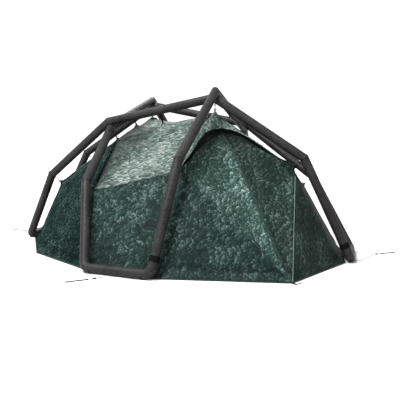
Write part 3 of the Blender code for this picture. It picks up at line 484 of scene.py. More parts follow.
# The fly's looks share one print: the roof and hood tones are lighter as painted light, the end tones darker
# as painted shade
roof_tones_painted_light = ((0.028, 0.046, 0.039), (0.090, 0.126, 0.112), (0.165, 0.209, 0.190), (0.300, 0.355, 0.330))
hood_tones_painted_light = ((0.030, 0.050, 0.042), (0.105, 0.145, 0.128), (0.185, 0.235, 0.215), (0.320, 0.375, 0.350))
wall_tones = ((0.005, 0.013, 0.011), (0.011, 0.028, 0.023), (0.030, 0.060, 0.051), (0.105, 0.150, 0.135))
door_tones = ((0.009, 0.021, 0.017), (0.021, 0.045, 0.037), (0.056, 0.092, 0.081), (0.170, 0.222, 0.203))
end_tones_painted_shade = ((0.005, 0.012, 0.011), (0.011, 0.023, 0.021), (0.025, 0.046, 0.042), (0.080, 0.115, 0.108))

sleeve_look = sleeve_material()
roof_look = fly_material("roof_cloth", roof_tones_painted_light, 30.0, (0.75, 0.75, 2.3), (6, -8, 20), 2.6)
hood_look = fly_material("hood_cloth", hood_tones_painted_light, 34.0, (1.0, 1.0, 1.3), (20, 30, 15))
wall_look = fly_material("wall_cloth", wall_tones, 33.0, (1.0, 1.0, 1.35), (18, 32, 24), 3.6)
door_look = fly_material("door_cloth", door_tones, 33.0, (1.0, 1.0, 1.35), (24, 20, 40), 3.4, painted_hood_shadow=True)
end_look = fly_material("end_cloth", end_tones_painted_shade, 42.0, (1.0, 1.0, 1.7), (35, 12, 24), specular=0.0)
mesh_look = mesh_material()
webbing_look = webbing_material()
cord_look = cord_material()
piping_look = simple_material("piping", (0.120, 0.200, 0.175), 0.60, 120.0, 0.0003)
seam_look = simple_material("seam_tape", (0.012, 0.026, 0.022), 0.60, 120.0, 0.0003)
hem_look = simple_material("hem_tape", (0.018, 0.030, 0.026), 0.65, 90.0, 0.0004)
plastic_look = simple_material("moulded_plastic", (0.014, 0.014, 0.015), 0.42, 200.0, 0.0002)
metal_look = simple_material("anodised_metal", (0.012, 0.012, 0.013), 0.45, 240.0, 0.0001)
elastic_look = simple_material("elastic_cord", (0.010, 0.010, 0.010), 0.80, 500.0, 0.0003)
ground_look = simple_material("groundsheet_cloth", (0.030, 0.034, 0.033), 0.55, 60.0, 0.0010)
binding_look = simple_material("binding", (0.004, 0.006, 0.006), 0.80, 150.0, 0.0003)


# Beam centre lines

def crossing(kind, sign):
    if kind == "side":
        return Vector((sign * side_crossing_out, 0, side_crossing_height))
    return Vector((0, sign * end_crossing_out, end_crossing_height))


def knee(kind, sx, sy):
    return Vector(knee_places[kind]) * Vector((sx, sy, 1))


def foot(kind, sx, sy):
    return Vector(foot_places[kind]) * Vector((sx, sy, 1))


def crossing_normal(kind, sign):
    """Outward at a crossing, away from the four runs that leave it."""
    other = "end" if kind == "side" else "side"
    knees = [knee(kind, sign, turn) if kind == "side" else knee(kind, turn, sign) for turn in (-1, 1)]
    total = Vector((0, 0, 0))
    for place in [crossing(other, -1), crossing(other, 1), *knees]:
        total -= (place - crossing(kind, sign)).normalized()
    return total.normalized()


def cuff_centre(sx, sy):
    start = foot("end", sx, sy)
    return start + (knee("end", sx, sy) - start).normalized() * cuff_distance


def beam_route(sx, sy):
    """Corners of a beam, from its cuff over an end crossing and a side crossing to the opposite cuff."""
    over_end = crossing_offset if sx * sy > 0 else -crossing_offset
    return [cuff_centre(sx, sy), knee("end", sx, sy),
            crossing("end", sy) + crossing_normal("end", sy) * over_end,
            crossing("side", -sx) - crossing_normal("side", -sx) * over_end,
            knee("side", -sx, -sy), foot("side", -sx, -sy), foot("end", -sx, -sy), cuff_centre(-sx, -sy)]


def distance_to(point, line):
    shortest = math.inf
    for start, stop in zip(line, line[1:]):
        run = stop - start
        share = min(1, max(0, (point - start).dot(run) / run.length_squared))
        shortest = min(shortest, (start + run * share - point).length)
    return shortest


# A point of a beam, its radius as a share, how near a bend it is, and the two lines at a crossing
Station = namedtuple("Station", "point share bend own other", defaults=(1.0, 0.0, None, None))


def knee_shape(distance):
    """Radius share and closeness to the bend, at a distance from a knee's seam."""
    lip = knee_lip * math.exp(-(distance / knee_lip_reach) ** 2)
    pinch = knee_pinch * math.exp(-((distance - knee_pinch_place) / knee_pinch_reach) ** 2)
    return 1 + lip - pinch, math.exp(-distance / knee_bend_reach)


def between(start, stop, kinds, crossings):
    """Stations of a straight run between two corners, closer together near a knee or a crossing."""
    length = (stop - start).length
    way = (stop - start) / length
    first, second = (near_steps[kind] for kind in kinds)
    low, high = max(first), length - max(second)
    count = max(1, round((high - low) / run_step))
    places = set(first) | {length - place for place in second}
    places |= {low + (high - low) * k / count for k in range(1, count)}
    stations = []
    for place in sorted(places):
        share, bend, own, other = 1.0, 0.0, None, None
        for kind, distance, lines in zip(kinds, (place, length - place), crossings):
            if kind == "knee":
                knee_share, knee_bend = knee_shape(distance)
                share *= knee_share
                bend = max(bend, knee_bend)
            elif kind != "end":
                bend = max(bend, soft_bend * math.exp(-distance / soft_bend_reach))
            if kind == "crossing" and distance <= press_reach_share * tube_radius + 1e-6:
                own, other = lines
        stations.append(Station(start + way * place, share, bend, own, other))
    return stations


def bend_points(before, corner, after):
    arriving, leaving = (corner - before).normalized(), (after - corner).normalized()
    turn = arriving.angle(leaving)
    axis = arriving.cross(leaving).normalized()
    start = corner - arriving * foot_bend_radius * math.tan(turn / 2)
    centre = start + axis.cross(arriving).normalized() * foot_bend_radius
    spins = [Matrix.Rotation(turn * step / bend_steps, 3, axis) for step in range(bend_steps + 1)]
    return [centre + spin @ (start - centre) for spin in spins]


def beam_stations(sx, sy):
    """The stations of a beam: those of its corners, with the runs between them."""
    route = beam_route(sx, sy)
    end_lines = (route[1:4], beam_route(-sx, sy)[1:4])
    side_lines = (route[2:5], beam_route(sx, -sy)[2:5])
    turns = [("end", [Station(route[0])], None),
             ("knee", [Station(route[1], *knee_shape(0))], None),
             ("crossing", [Station(route[2], 1.0, soft_bend, *end_lines)], end_lines),
             ("crossing", [Station(route[3], 1.0, soft_bend, *side_lines)], side_lines),
             ("knee", [Station(route[4], *knee_shape(0))], None)]
    for index in (5, 6):
        bend = bend_points(*route[index - 1:index + 2])
        turns.append(("bend", [Station(point, 1.0, 1.0) for point in bend], None))
    stations = turns[0][1]
    for (kind, before, lines), (next_kind, after, next_lines) in zip(turns, turns[1:]):
        run = between(before[-1].point, after[0].point, (kind, next_kind), (lines, next_lines))
        stations = stations + run + after
    return stations + [Station(route[7])]


def fits(point, station):
    """Whether a point of the skin is above ground and on its own side at a crossing."""
    if point.z < 0 or station.other is None:
        return point.z >= 0
    return distance_to(point, station.other) - distance_to(point, station.own) >= press_space


def build_beam(quadrant):
    sx, sy = quadrants[quadrant]
    stations = beam_stations(sx, sy)
    places = [station.point for station in stations]
    last = len(stations) - 1
    points, along, lengths = [], 0.0, []
    for index, (station, (direction, across, cut)) in enumerate(zip(stations, runs_along(places))):
        if 0 < index < last:
            along += (places[index] - places[index - 1]).length
        lengths.append(along)
        shift = clearance if index == 0 else -clearance if index == last else 0
        centre = station.point + direction * shift
        for step in range(beam_sides):
            offset = spoke(across, direction.cross(across), step, beam_sides)
            angle = math.tau * step / beam_sides
            spot = Vector((wrinkles_round * math.cos(angle), wrinkles_round * math.sin(angle),
                           along * wrinkles_along + 7 * sx + 3 * sy))
            wrinkles = wrinkle_share + wrinkle_bend_share * station.bend
            size = station.share * (1 + noise.noise(spot) * wrinkles)
            offset = mitred(offset * tube_radius * size, direction, cut)
            if not fits(centre + offset, station):
                offset *= farthest(lambda share: fits(centre + offset * share, station), 12)
            points.append(centre + offset)
    beam = shell(f"beam_{quadrant}", points, beam_sides, sleeve_look, 38)
    layer = beam.data.uv_layers.new(name="UVMap")
    around = math.tau * tube_radius / beam_sides
    for polygon in beam.data.polygons:
        closing = len(polygon.vertices) == 4 and max(corner % beam_sides for corner in polygon.vertices) > 1
        for loop in polygon.loop_indices:
            row, step = divmod(beam.data.loops[loop].vertex_index, beam_sides)
            layer.data[loop].uv = ((beam_sides if closing and step == 0 else step) * around, lengths[row])
    faced_out(beam)
    settle(beam, [f"beam_sleeve_{quadrant}", f"beam_bladder_{quadrant}"])


def build_knee_seams(quadrant):
    """The stitched ridge round each knee of a beam, along its mitre."""
    route = beam_route(*quadrants[quadrant])
    rings = []
    for index in (1, 4):
        before, corner, after = route[index - 1:index + 2]
        arriving, leaving = (corner - before).normalized(), (after - corner).normalized()
        cut = (arriving + leaving).normalized()
        across = arriving.cross(leaving).normalized()
        side = cut.cross(across)
        stretch = 1 / arriving.dot(cut)
        size = tube_radius * (1 + knee_lip) + seam_lift
        places = []
        for step in range(seam_sides + 1):
            angle = math.tau * step / seam_sides
            places.append(corner + across * math.cos(angle) * size + side * math.sin(angle) * size * stretch)
        rings.append(tube("seam", places, seam_radius, 6, binding_look))
    settle(join(f"knee_seams_{quadrant}", rings))


def build_cuff(quadrant):
    """The black band over the join of two beams, with rolled edges and stitch lines."""
    sx, sy = quadrants[quadrant]
    axis = (knee("end", sx, sy) - foot("end", sx, sy)).normalized()
    across = axis.orthogonal().normalized()
    outer = tube_radius + cuff_space + cuff_thickness
    edge = [(outer + out, place - cuff_length / 2) for out, place in cuff_edge]
    profile = [*edge, (outer + cuff_crown, 0), *[(radius, -height) for radius, height in edge[::-1]]]
    points = []
    for radius, height in profile:
        middle = cuff_centre(sx, sy) + axis * height
        for step in range(cuff_sides):
            points.append(middle + spoke(across, axis.cross(across), step, cuff_sides) * radius)
    made = shell(f"join_band_{quadrant}", points, cuff_sides, webbing_look, 60, closed=True)
    faced_out(made)
    settle(made, [f"beam_join_cuff_{quadrant}"])


# Fly: corners and panels

tent_middle = Vector((0, 0, 0.3))
on_side, on_end = ("side_peak", "side_tip"), ("end_peak", "end_tip", "door_top", "door_ridge", "hood_top")
panels = {
    "roof": ("centre side_peak mid", "centre mid end_peak", "side_peak mid side_shoulder",
             "mid end_shoulder side_shoulder", "mid end_peak hood_corner end_shoulder"),
    "walls": ("side_shoulder end_shoulder end_hem", "side_shoulder end_hem side_hem",
              "side_shoulder side_hem side_tip", "end_shoulder door_hinge end_tip end_hem",
              "end_shoulder door_turn door_hinge"),
}


def keys(names, sx, sy):
    """The corners' keys: a name alone, with the side or the end that it lies on, or with both."""
    found = []
    for name in names.split():
        signs = (sx,) if name in on_side else (sy,) if name in on_end else (sx, sy)
        found.append((name,) if name == "centre" else (name, *signs))
    return found


def fly_corners():
    corners = {("centre",): Vector((0, 0, roof_centre_height))}
    for sign in (-1, 1):
        side_inset = Vector((sign * side_peak_inset, 0, side_peak_drop))
        end_inset = Vector((0, -sign * end_peak_outset, end_peak_drop))
        corners["side_peak", sign] = crossing("side", sign) - side_inset
        corners["end_peak", sign] = crossing("end", sign) - end_inset
        corners["side_tip", sign] = Vector((sign * side_tip_out, 0, 0))
        corners["end_tip", sign] = Vector((0, sign * end_tip_out, 0))
        corners["door_top", sign] = Vector((0, sign * door_top_out, door_top_height))
        corners["door_ridge", sign] = Vector((0, sign * door_ridge_out, door_ridge_height))
    for sx, sy in quadrants.values():
        flip = Vector((sx, sy, 1))
        corners["mid", sx, sy] = (crossing("side", sx) + crossing("end", sy)) / 2 - mid_inset * flip
        for kind, inset in shoulder_insets.items():
            corners[f"{kind}_shoulder", sx, sy] = knee(kind, sx, sy) - inset * flip
        for kind, inset in hem_insets.items():
            hem = foot(kind, sx, sy) - inset * flip
            corners[f"{kind}_hem", sx, sy] = Vector((hem.x, hem.y, 0))
        shoulder = corners["end_shoulder", sx, sy]
        corners["door_hinge", sx, sy] = shoulder.lerp(corners["end_tip", sy], door_hinge_start_share)
        corners["door_turn", sx, sy] = shoulder.lerp(corners["door_top", sy], door_shoulder_share)
    return corners


def flap_edge(sx, sy):
    """Keys of a door flap's top edge, from its outer corner over the arch to the middle of the door."""
    turn, top, ridge = corners["door_turn", sx, sy], corners["door_top", sy], corners["door_ridge", sy]
    outward = (turn - ridge).cross(top - ridge).cross(top - turn).normalized()
    if outward.z < 0:
        outward = -outward
    arch = [("door_arch", sx, sy, step) for step in range(1, door_arch_steps + 1)]
    for name in arch:
        share = name[3] / (door_arch_steps + 1)
        corners[name] = turn.lerp(top, share) + outward * door_arch_rise * math.sin(math.pi * share)
    return [("door_turn", sx, sy), *arch, ("door_top", sy)]


def hood_edge(sy):
    """Keys of a hood's lower edge: a corner on each ridge line and the arch between them."""
    peak = corners["end_peak", sy]
    for sx in (-1, 1):
        corners["hood_corner", sx, sy] = corners["end_shoulder", sx, sy].lerp(peak, hood_corner_share)
    low = (corners["hood_corner", -1, sy] + corners["hood_corner", 1, sy]) / 2
    corners["hood_top", sy] = top = peak.lerp(low, hood_arch_share)
    halves = []
    for sx in (-1, 1):
        corner = corners["hood_corner", sx, sy]
        half = [("hood_arch", sx, sy, step) for step in range(1, hood_arch_steps)]
        for name in half:
            part = name[3] / hood_arch_steps
            pull = hood_arch_pull_share * math.sin(math.pi * part)
            corners[name] = corner.lerp(top, part).lerp(corner.lerp(peak, part), pull)
        halves.append([("hood_corner", sx, sy), *half])
    return [*halves[0], ("hood_top", sy), *halves[1][::-1]]


corners = fly_corners()
groups = ["roof", "walls"]
coarse, cloth_edges = [], {}
for sx, sy in quadrants.values():
    coarse += [(group, keys(names, sx, sy)) for group, outlines in panels.items() for names in outlines]
for sx in (-1, 1):
    shoulders = [("side_shoulder", sx, -1), ("side_shoulder", sx, 1)]
    coarse += [("walls", [("side_peak", sx), *shoulders]), ("walls", [*shoulders, ("side_tip", sx)])]
for end, sy in door_ends.items():
    hood = f"{end}_hood"
    groups.append(hood)
    cloth_edges[hood] = hood_edge(sy)
    coarse.append((hood, [("end_peak", sy), *cloth_edges[hood]]))
    for side, sx in door_sides.items():
        flap = f"{end}_{side}_flap"
        groups.append(flap)
        cloth_edges[flap] = flap_edge(sx, sy)
        coarse += [(flap, [("door_hinge", sx, sy), *cloth_edges[flap], ("door_ridge", sy)]),
                   (flap, keys("door_hinge door_ridge end_tip", sx, sy))]


# Fly: one fine cloth, drawn tight

def area_vector(ring):
    """Square to a flat outline, and twice as long as its area."""
    total = Vector((0, 0, 0))
    for first, second in zip(ring[1:], ring[2:]):
        total += (first - ring[0]).cross(second - ring[0])
    return total


def outward_normal(ring):
    normal = area_vector(ring).normalized()
    centre = sum(ring, Vector((0, 0, 0))) / len(ring)
    return normal if normal.dot(centre - tent_middle) > 0 else -normal


def cut_area(*members):
    """Flat area of the panels that a piece is sewn from."""
    sewn = [face for group, face in coarse if group in members]
    return sum(area_vector([corners[name] for name in face]).length / 2 for face in sewn)


def refined_cloth():
    """The whole fly as one fine triangle mesh: its points, its faces and each face's group number."""
    work = bmesh.new()
    vertices = {name: work.verts.new(corners[name]) for name in list(corners)}
    for group, face in coarse:
        ring, places = [vertices[name] for name in face], [corners[name] for name in face]
        if area_vector(places).dot(outward_normal(places)) < 0:
            ring.reverse()
        work.faces.new(ring).material_index = groups.index(group)
    bmesh.ops.triangulate(work, faces=work.faces[:])
    for _ in range(9):
        long_edges = [edge for edge in work.edges if edge.calc_length() > cloth_step * 1.35]
        if not long_edges:
            break
        bmesh.ops.subdivide_edges(work, edges=long_edges, cuts=1)
        bmesh.ops.triangulate(work, faces=[face for face in work.faces if len(face.verts) > 3])
    loose = [vertex for vertex in work.verts if not vertex.link_faces]
    bmesh.ops.delete(work, geom=loose, context="VERTS")
    work.verts.ensure_lookup_table()
    points = np.array([vertex.co[:] for vertex in work.verts])
    faces = np.array([[vertex.index for vertex in face.verts] for face in work.faces])
    kinds = np.array([face.material_index for face in work.faces])
    work.free()
    return points, faces, kinds


def on_segment(start, stop):
    """Which of the cloth's points lie on a straight segment, and how far along it."""
    first, run = np.array(start), np.array(stop) - np.array(start)
    share = np.clip((points - first) @ run / (run @ run), 0, 1)
    return np.linalg.norm(points - first - share[:, None] * run, axis=1) < 2e-5, share


def members_of(group):
    return np.unique(faces[kinds == groups.index(group)])


def vertex_normals():
    ends = [points[faces[:, column]] for column in range(3)]
    normals = np.cross(ends[1] - ends[0], ends[2] - ends[0])
    summed = np.zeros_like(points)
    for column in range(3):
        np.add.at(summed, faces[:, column], normals)
    return summed / np.maximum(np.linalg.norm(summed, axis=1), 1e-12)[:, None]


def relax(pull):
    """Draws the cloth tight between the points with no pull, sagging a little."""
    for _ in range(relax_rounds):
        total = np.zeros_like(points)
        for axis in range(3):
            total[:, axis] = (np.bincount(edges[:, 0], points[edges[:, 1], axis], len(points))
                              + np.bincount(edges[:, 1], points[edges[:, 0], axis], len(points)))
        points[:] += (total / degree[:, None] - points) * pull[:, None]
        points[:] -= vertex_normals() * (inward_pull * (pull > 0))[:, None]
    points[:, 2] = np.maximum(points[:, 2], 0)


def follow_ridges(end, sy):
    """Moves a hood's arched edge in with the sagging ridges beside it, then settles the hood."""
    ridge = np.concatenate([lines[frozenset(keys("end_peak hood_corner", sx, sy))] for sx in (-1, 1)])
    own = members_of(f"{end}_hood")
    for index in np.setdiff1d(own[held[own]], ridge):
        gaps = np.linalg.norm(flat_points[ridge] - flat_points[index], axis=1)
        nearest = int(np.argmin(gaps))
        shift = points[ridge[nearest]] - flat_points[ridge[nearest]]
        points[index] += shift * math.exp(-(gaps[nearest] / hood_follow_reach) ** 2)
    inside = np.zeros(len(points))
    inside[own] = face_pull
    inside[on_ridge | held] = 0
    relax(inside)


points, faces, kinds = refined_cloth()
flat_points = points.copy()
edge_uses = Counter(frozenset(pair) for _, face in coarse for pair in zip(face, face[1:] + face[:1]))
lines = {}
on_ridge, held = np.zeros(len(points), bool), np.zeros(len(points), bool)
for pair, uses in edge_uses.items():
    start, stop = sorted(pair, key=str)
    found, share = on_segment(corners[start], corners[stop])
    picked = np.flatnonzero(found)
    lines[pair] = picked[np.argsort(share[picked])]
    on_ridge |= found
    if uses == 1:
        held |= found
anchors = [name for name in corners if name[0] in (
    "side_peak", "end_peak", "mid", "side_shoulder", "end_shoulder", "side_tip", "end_tip", "door_top")]
for name in anchors:
    held[np.argmin(np.linalg.norm(points - np.array(corners[name]), axis=1))] = True
for sx, sy in quadrants.values():
    held |= on_segment(corners["door_hinge", sx, sy], corners["end_tip", sy])[0]

edges = np.unique(np.sort(faces[:, [[0, 1], [1, 2], [2, 0]]].reshape(-1, 2), axis=1), axis=0)
degree = np.bincount(edges.ravel(), minlength=len(points)).astype(float)
relax(np.where(held, 0, np.where(on_ridge, ridge_pull, face_pull)))
for end, sy in door_ends.items():
    follow_ridges(end, sy)


# Fly: the doors' bellies, then folds at the hanging points, along the hem and small ones everywhere

for quadrant, (sx, sy) in quadrants.items():
    own = members_of(f"{quadrant}_flap")
    own = own[~held[own] & (flat_points[own, 2] <= belly_top)]
    hinge = corners["door_hinge", sx, sy]
    x, _, z = flat_points[own].T
    share = np.minimum(1, np.abs(x) / np.maximum(abs(hinge.x) * np.minimum(1, z / hinge.z), 1e-6))
    ease = np.minimum(1, (belly_top - z) / belly_top_ease) * np.minimum(1, z / belly_low_ease)
    points[own] -= np.outer(belly_depth * np.sin(np.pi * share) * ease, (0, sy * 0.7, 0.7))

normals = vertex_normals()
depth, hem_painted_shading = np.zeros(len(points)), np.zeros(len(points))
for number, name in enumerate(name for name in anchors if name[0] != "door_top"):
    offset = points - np.array(corners[name])
    distance = np.linalg.norm(offset, axis=1)
    normal = Vector(normals[int(np.argmin(distance))])
    first = normal.orthogonal().normalized()
    second = normal.cross(first)
    near = np.flatnonzero(distance < 3 * fold_reach)
    offset, distance = offset[near], distance[near]
    angle = np.arctan2(offset @ np.array(second), offset @ np.array(first))
    growth = np.clip((distance - fold_start) / fold_growth, 0, 1)
    wave = np.sin(fold_count * angle + 2.3 * number + 3.0 * distance)
    wave += 0.5 * np.sin((fold_count + 6) * angle + 1.1 * number)
    depth[near] += fold_depth * growth * np.exp(-distance / fold_reach) * wave
for index, (x, y, z) in enumerate(points):
    spot = Vector((x, y, z))
    depth[index] += wide_wave * noise.noise(spot * wide_scale)
    depth[index] += small_wave * noise.noise(spot * small_scale + Vector((5, 1, 2)))
    if z < 4 * hem_fold_height:
        fade = math.exp(-z / hem_fold_height)
        bend = 2.2 * noise.noise(Vector((x * 4, y * 4, 0)))
        wave = 0.5 * (math.sin(math.tau * z / hem_fold_wave + bend) - 1)
        fold = max(0, 0.8 + 0.9 * noise.noise(Vector((x * 2.3, y * 2.3, 5)))) * fade * wave
        depth[index] += hem_fold_depth * fold
        # Painted shading of the hem folds: painted shade in their hollows, a little painted light near the
        # ground
        hem_painted_shading[index] = hem_fold_painted_shading * (fold + 0.25 * fade)
ease = np.where(held, 0, np.where(on_ridge, ridge_fold_share, 1))
points += normals * (depth * ease)[:, None]
points[:, 2] = np.maximum(points[:, 2], cloth_thickness)


# Painted light and shade in the cloth's tone: painted shade in the hem folds, on the roof corners, under the
# hoods and on two walls; painted light on two flaps, palest by the zip, and painted shade on the other two

tone = 1 + hem_painted_shading
for quadrant, (sx, sy) in quadrants.items():
    # Painted shade on the roof's triangle between the middle, the side shoulder and the side peak, with a
    # soft ragged edge
    mid, shoulder, peak = (np.array(corners[name]) for name in keys("mid side_shoulder side_peak", sx, sy))
    run = (shoulder - mid) / np.linalg.norm(shoulder - mid)
    out = (peak - mid) - run * ((peak - mid) @ run)
    out /= np.linalg.norm(out)
    own = members_of("roof")
    own = own[(flat_points[own, 0] * sx > 0) & (flat_points[own, 1] * sy > 0)]
    offset = flat_points[own] - mid
    ragged = np.array([noise.noise(Vector(place) * 6) for place in flat_points[own]])
    beyond = offset @ out + corner_ragged * ragged
    shade = corner_shade / (1 + np.exp(-(beyond - corner_edge) / corner_soft))
    tone[own] *= 1 - shade * np.clip(offset @ run / corner_ease + 1, 0, 1)
    # Painted light on the front left and back right flaps, palest by the zip, and painted shade on the front
    # right and back left flaps
    own = members_of(f"{quadrant}_flap")
    x, _, z = np.abs(flat_points[own]).T
    stripe = door_painted_light + door_painted_highlight * np.exp(-((x - door_stripe_place) / door_stripe_width) ** 2)
    tone[own] *= stripe if sx * sy > 0 else door_painted_shade
    # Painted shade on the flap's top, under its hood
    tone[own] *= 1 - hood_shade + hood_shade * np.clip((hood_shade_top - z) / hood_shade_reach, 0, 1)
# Painted shade on the walls of the front right and back left quadrants, darker towards the ends
own = members_of("walls")
own = own[flat_points[own, 0] * flat_points[own, 1] < 0]
beyond = (np.abs(flat_points[own, 1]) - wall_shade_start) / wall_shade_reach
tone[own] *= 1 - wall_shade * np.clip(beyond, 0, 1)


# Fly: its pieces, cut out of the cloth

def cloth_piece(name, group, look, nodes, on=body):
    """One piece of the fly, with its thickness inside, and the numbers of its points in the whole cloth."""
    used, local = np.unique(faces[kinds == groups.index(group)], return_inverse=True)
    made = new_object(name, points[used], [tuple(face) for face in local.reshape(-1, 3)], [look])
    thicken(made, cloth_thickness)
    made.data.attributes.new("tone", "FLOAT", "POINT").data.foreach_set("value", tone[used])
    settle(made, nodes, on)
    return made, used


roof_nodes = ["roof_top", *[f"roof_slope_{quadrant}" for quadrant in quadrants]]
wall_nodes = ["left_end_panel", "right_end_panel", *[f"wall_{quadrant}" for quadrant in quadrants]]
roof, _ = cloth_piece("fly_roof", "roof", roof_look, roof_nodes)
walls, used = cloth_piece("fly_walls", "walls", wall_look, wall_nodes)
# The end panels take the end look, with its painted shade
walls.data.materials.append(end_look)
shoulder, hem = corners["side_shoulder", 1, 1], corners["side_hem", 1, 1]
for polygon in walls.data.polygons:
    x, y, z = np.abs(flat_points[used[list(polygon.vertices)]].mean(axis=0))
    edge = hem.y + (shoulder.y - hem.y) * z / shoulder.z
    if y < edge + 1e-4 and x > end_panel_out and abs(polygon.normal.x) > end_panel_slant:
        polygon.material_index = 1
cut_area("roof")
cut_area("walls")
for end in door_ends:
    hood, _ = cloth_piece(f"{end}_hood_cloth", f"{end}_hood", hood_look, [f"{end}_hood"])
    cut_area(f"{end}_hood")
    for side in door_sides:
        flap, used = cloth_piece(f"{end}_{side}_door_cloth", f"{end}_{side}_flap", door_look,
                                 [f"{end}_door_{side}_flap"], f"{end}_{side}_flap")
        cut_area(f"{end}_{side}_flap")
        # The painted shadow band: an arch along the flap's top, under its hood
        wide = np.abs(flat_points[used, 0]) / band_half_width
        limit = band_height - band_dip * wide - band_curve * wide ** 2
        band = np.clip(0.5 + (flat_points[used, 2] - limit) / band_soft, 0, 1)
        flap.data.attributes.new("painted_hood_shadow_band", "FLOAT", "POINT").data.foreach_set("value", band)


# Door vents, behind the hoods

def build_vent(end, sy):
    peak = corners["end_peak", sy]
    shoulders = {sx: corners["end_shoulder", sx, sy] for sx in (-1, 1)}
    normal = outward_normal([peak, shoulders[-1], shoulders[1]])
    top_faces, slope_faces = {}, {}
    for sx in (-1, 1):
        top_faces[sx] = outward_normal([corners[name] for name in keys("centre mid end_peak", sx, sy)])
        slope_faces[sx] = outward_normal([corners["mid", sx, sy], peak, shoulders[sx]])

    def meet(first, second):
        rows = np.array([list(first), list(second), list(normal)])
        insets = np.array([-vent_side_inset, -vent_side_inset, -vent_recess])
        return peak + Vector(np.linalg.solve(rows, insets))

    left, right = (meet(top_faces[sx], slope_faces[sx]) for sx in (-1, 1))
    lower_left, lower_right = (start + (shoulders[sx] - peak) * vent_depth_share
                               for start, sx in ((left, -1), (right, 1)))
    rise = meet(top_faces[-1], top_faces[1]) - (left + right) / 2
    grid, cells = [], []
    for row in range(vent_steps + 1):
        share = row / vent_steps
        first, last = left.lerp(lower_left, share), right.lerp(lower_right, share)
        for column in range(vent_steps + 1):
            across = column / vent_steps
            place = first.lerp(last, across)
            if row == 0:
                place += rise * (1 - abs(2 * across - 1))
            place -= normal * vent_belly * math.sin(math.pi * across) * share
            grid.append(place + normal * vent_rough * noise.noise(place * 14))
            if row < vent_steps and column < vent_steps:
                low = row * (vent_steps + 1) + column
                cells.append((low, low + 1, low + vent_steps + 2, low + vent_steps + 1))
    vent = new_object(f"{end}_vent_mesh", grid, cells, [mesh_look])
    thicken(vent, vent_thickness)
    settle(vent, [f"{end}_door_vent"])


for end, sy in door_ends.items():
    build_vent(end, sy)


# Groundsheet

def build_groundsheet():
    outline = []
    for sx, sy, names in ((1, 1, "side_tip side_hem end_hem"), (-1, 1, "end_tip end_hem side_hem"),
                          (-1, -1, "side_tip side_hem end_hem"), (1, -1, "end_tip end_hem side_hem")):
        outline += [corners[name] * sheet_share for name in keys(names, sx, sy)]
    rows = [Vector((0, 0, 2 * sheet_rough))]
    for step in range(1, sheet_steps + 1):
        for place, following in zip(outline, outline[1:] + outline[:1]):
            for part in (0, 0.25, 0.5, 0.75):
                spot = place.lerp(following, part) * (step / sheet_steps)
                lift = sheet_height + sheet_rough * noise.noise(spot * 7)
                rows.append(Vector((spot.x, spot.y, max(sheet_thickness, lift))))
    count = 4 * len(outline)
    cells = [(0, 1 + k, 1 + (k + 1) % count) for k in range(count)]
    for low in range(1, 1 + (sheet_steps - 1) * count, count):
        high = low + count
        cells += [(low + k, high + k, high + (k + 1) % count, low + (k + 1) % count) for k in range(count)]
    sheet = new_object("groundsheet_cloth", rows, cells, [ground_look])
    thicken(sheet, sheet_thickness)
    faced_out(sheet)
    settle(sheet, ["groundsheet"])


build_groundsheet()


# Lines sewn along the cloth

def chain(names, lift):
    """The finished cloth's points along its coarse edges from corner to corner, lifted off the cloth."""
    out = []
    for pair in zip(names, names[1:]):
        found = [Vector(points[index]) + Vector(normals[index]) * lift for index in lines[frozenset(pair)]]
        if sorted(pair, key=str)[0] != pair[0]:
            found.reverse()
        out += found[1:] if out else found
    return out


def hem_tape(sx, sy):
    """The hem's points and the directions square to its tape."""
    line = []
    for place in chain(keys("side_tip side_hem end_hem end_tip", sx, sy), 0):
        line.append(Vector((place.x, place.y, hem_tape_height))
                    + Vector((place.x, place.y, 0)).normalized() * hem_tape_out)
    sideways = []
    for before, place, after in zip(line[:1] + line, line, line[1:] + line[-1:]):
        outward = (after - before).cross(UP).normalized()
        sideways.append(outward if outward.dot(place) > 0 else -outward)
    return line, sideways


for quadrant, (sx, sy) in quadrants.items():
    seam = chain(keys("side_shoulder end_shoulder", sx, sy), roof_seam_lift)
    settle(tube(f"roof_seam_{quadrant}", seam, roof_seam_radius, 8, seam_look))
    crease = [Vector((place.x, place.y, max(place.z, crease_least_height)))
              for place in chain(keys("door_hinge end_tip", sx, sy), crease_lift)]
    piped = sx * sy < 0
    radius, look = (crease_piping_radius, piping_look) if piped else (crease_seam_radius, seam_look)
    settle(tube(f"door_piping_{quadrant}", crease, radius, 8, look))
    line, sideways = hem_tape(sx, sy)
    tape = ribbon(f"hem_tape_{quadrant}", line, sideways, hem_tape_width, hem_tape_thickness, hem_look)
    settle(tape)

for end, sy in door_ends.items():
    binding = chain(cloth_edges[f"{end}_hood"], binding_lift)
    settle(tube(f"{end}_hood_binding", binding, hood_binding_radius, 8, binding_look))
    for side, sx in door_sides.items():
        flap = f"{end}_{side}_flap"
        binding = chain(cloth_edges[flap], binding_lift)
        settle(tube(f"{flap}_binding", binding, flap_binding_radius, 8, binding_look), on=flap)
        zip_line = chain(keys("door_top door_ridge end_tip", sx, sy), zip_tape_lift)[1:-2]
        aside, facing = Vector((sx * zip_tape_out, 0, 0)), Vector((sx * 0.25, sy * 0.7, 0.7))
        tape = ribbon(f"{end}_{side}_zip_tape", [place + aside for place in zip_line],
                      [facing] * len(zip_line), zip_tape_width, zip_tape_thickness, seam_look)
        settle(tape, on=flap)


# Hangers between fly and beams, hem ties and guy loops

def surface_point(start, target, line):
    """Where a straight line from start to target reaches the skin of a tube along line."""
    def outside(share):
        return distance_to(start.lerp(target, share), line) > tube_radius + skin_lift
    return start.lerp(target, farthest(outside, 24))


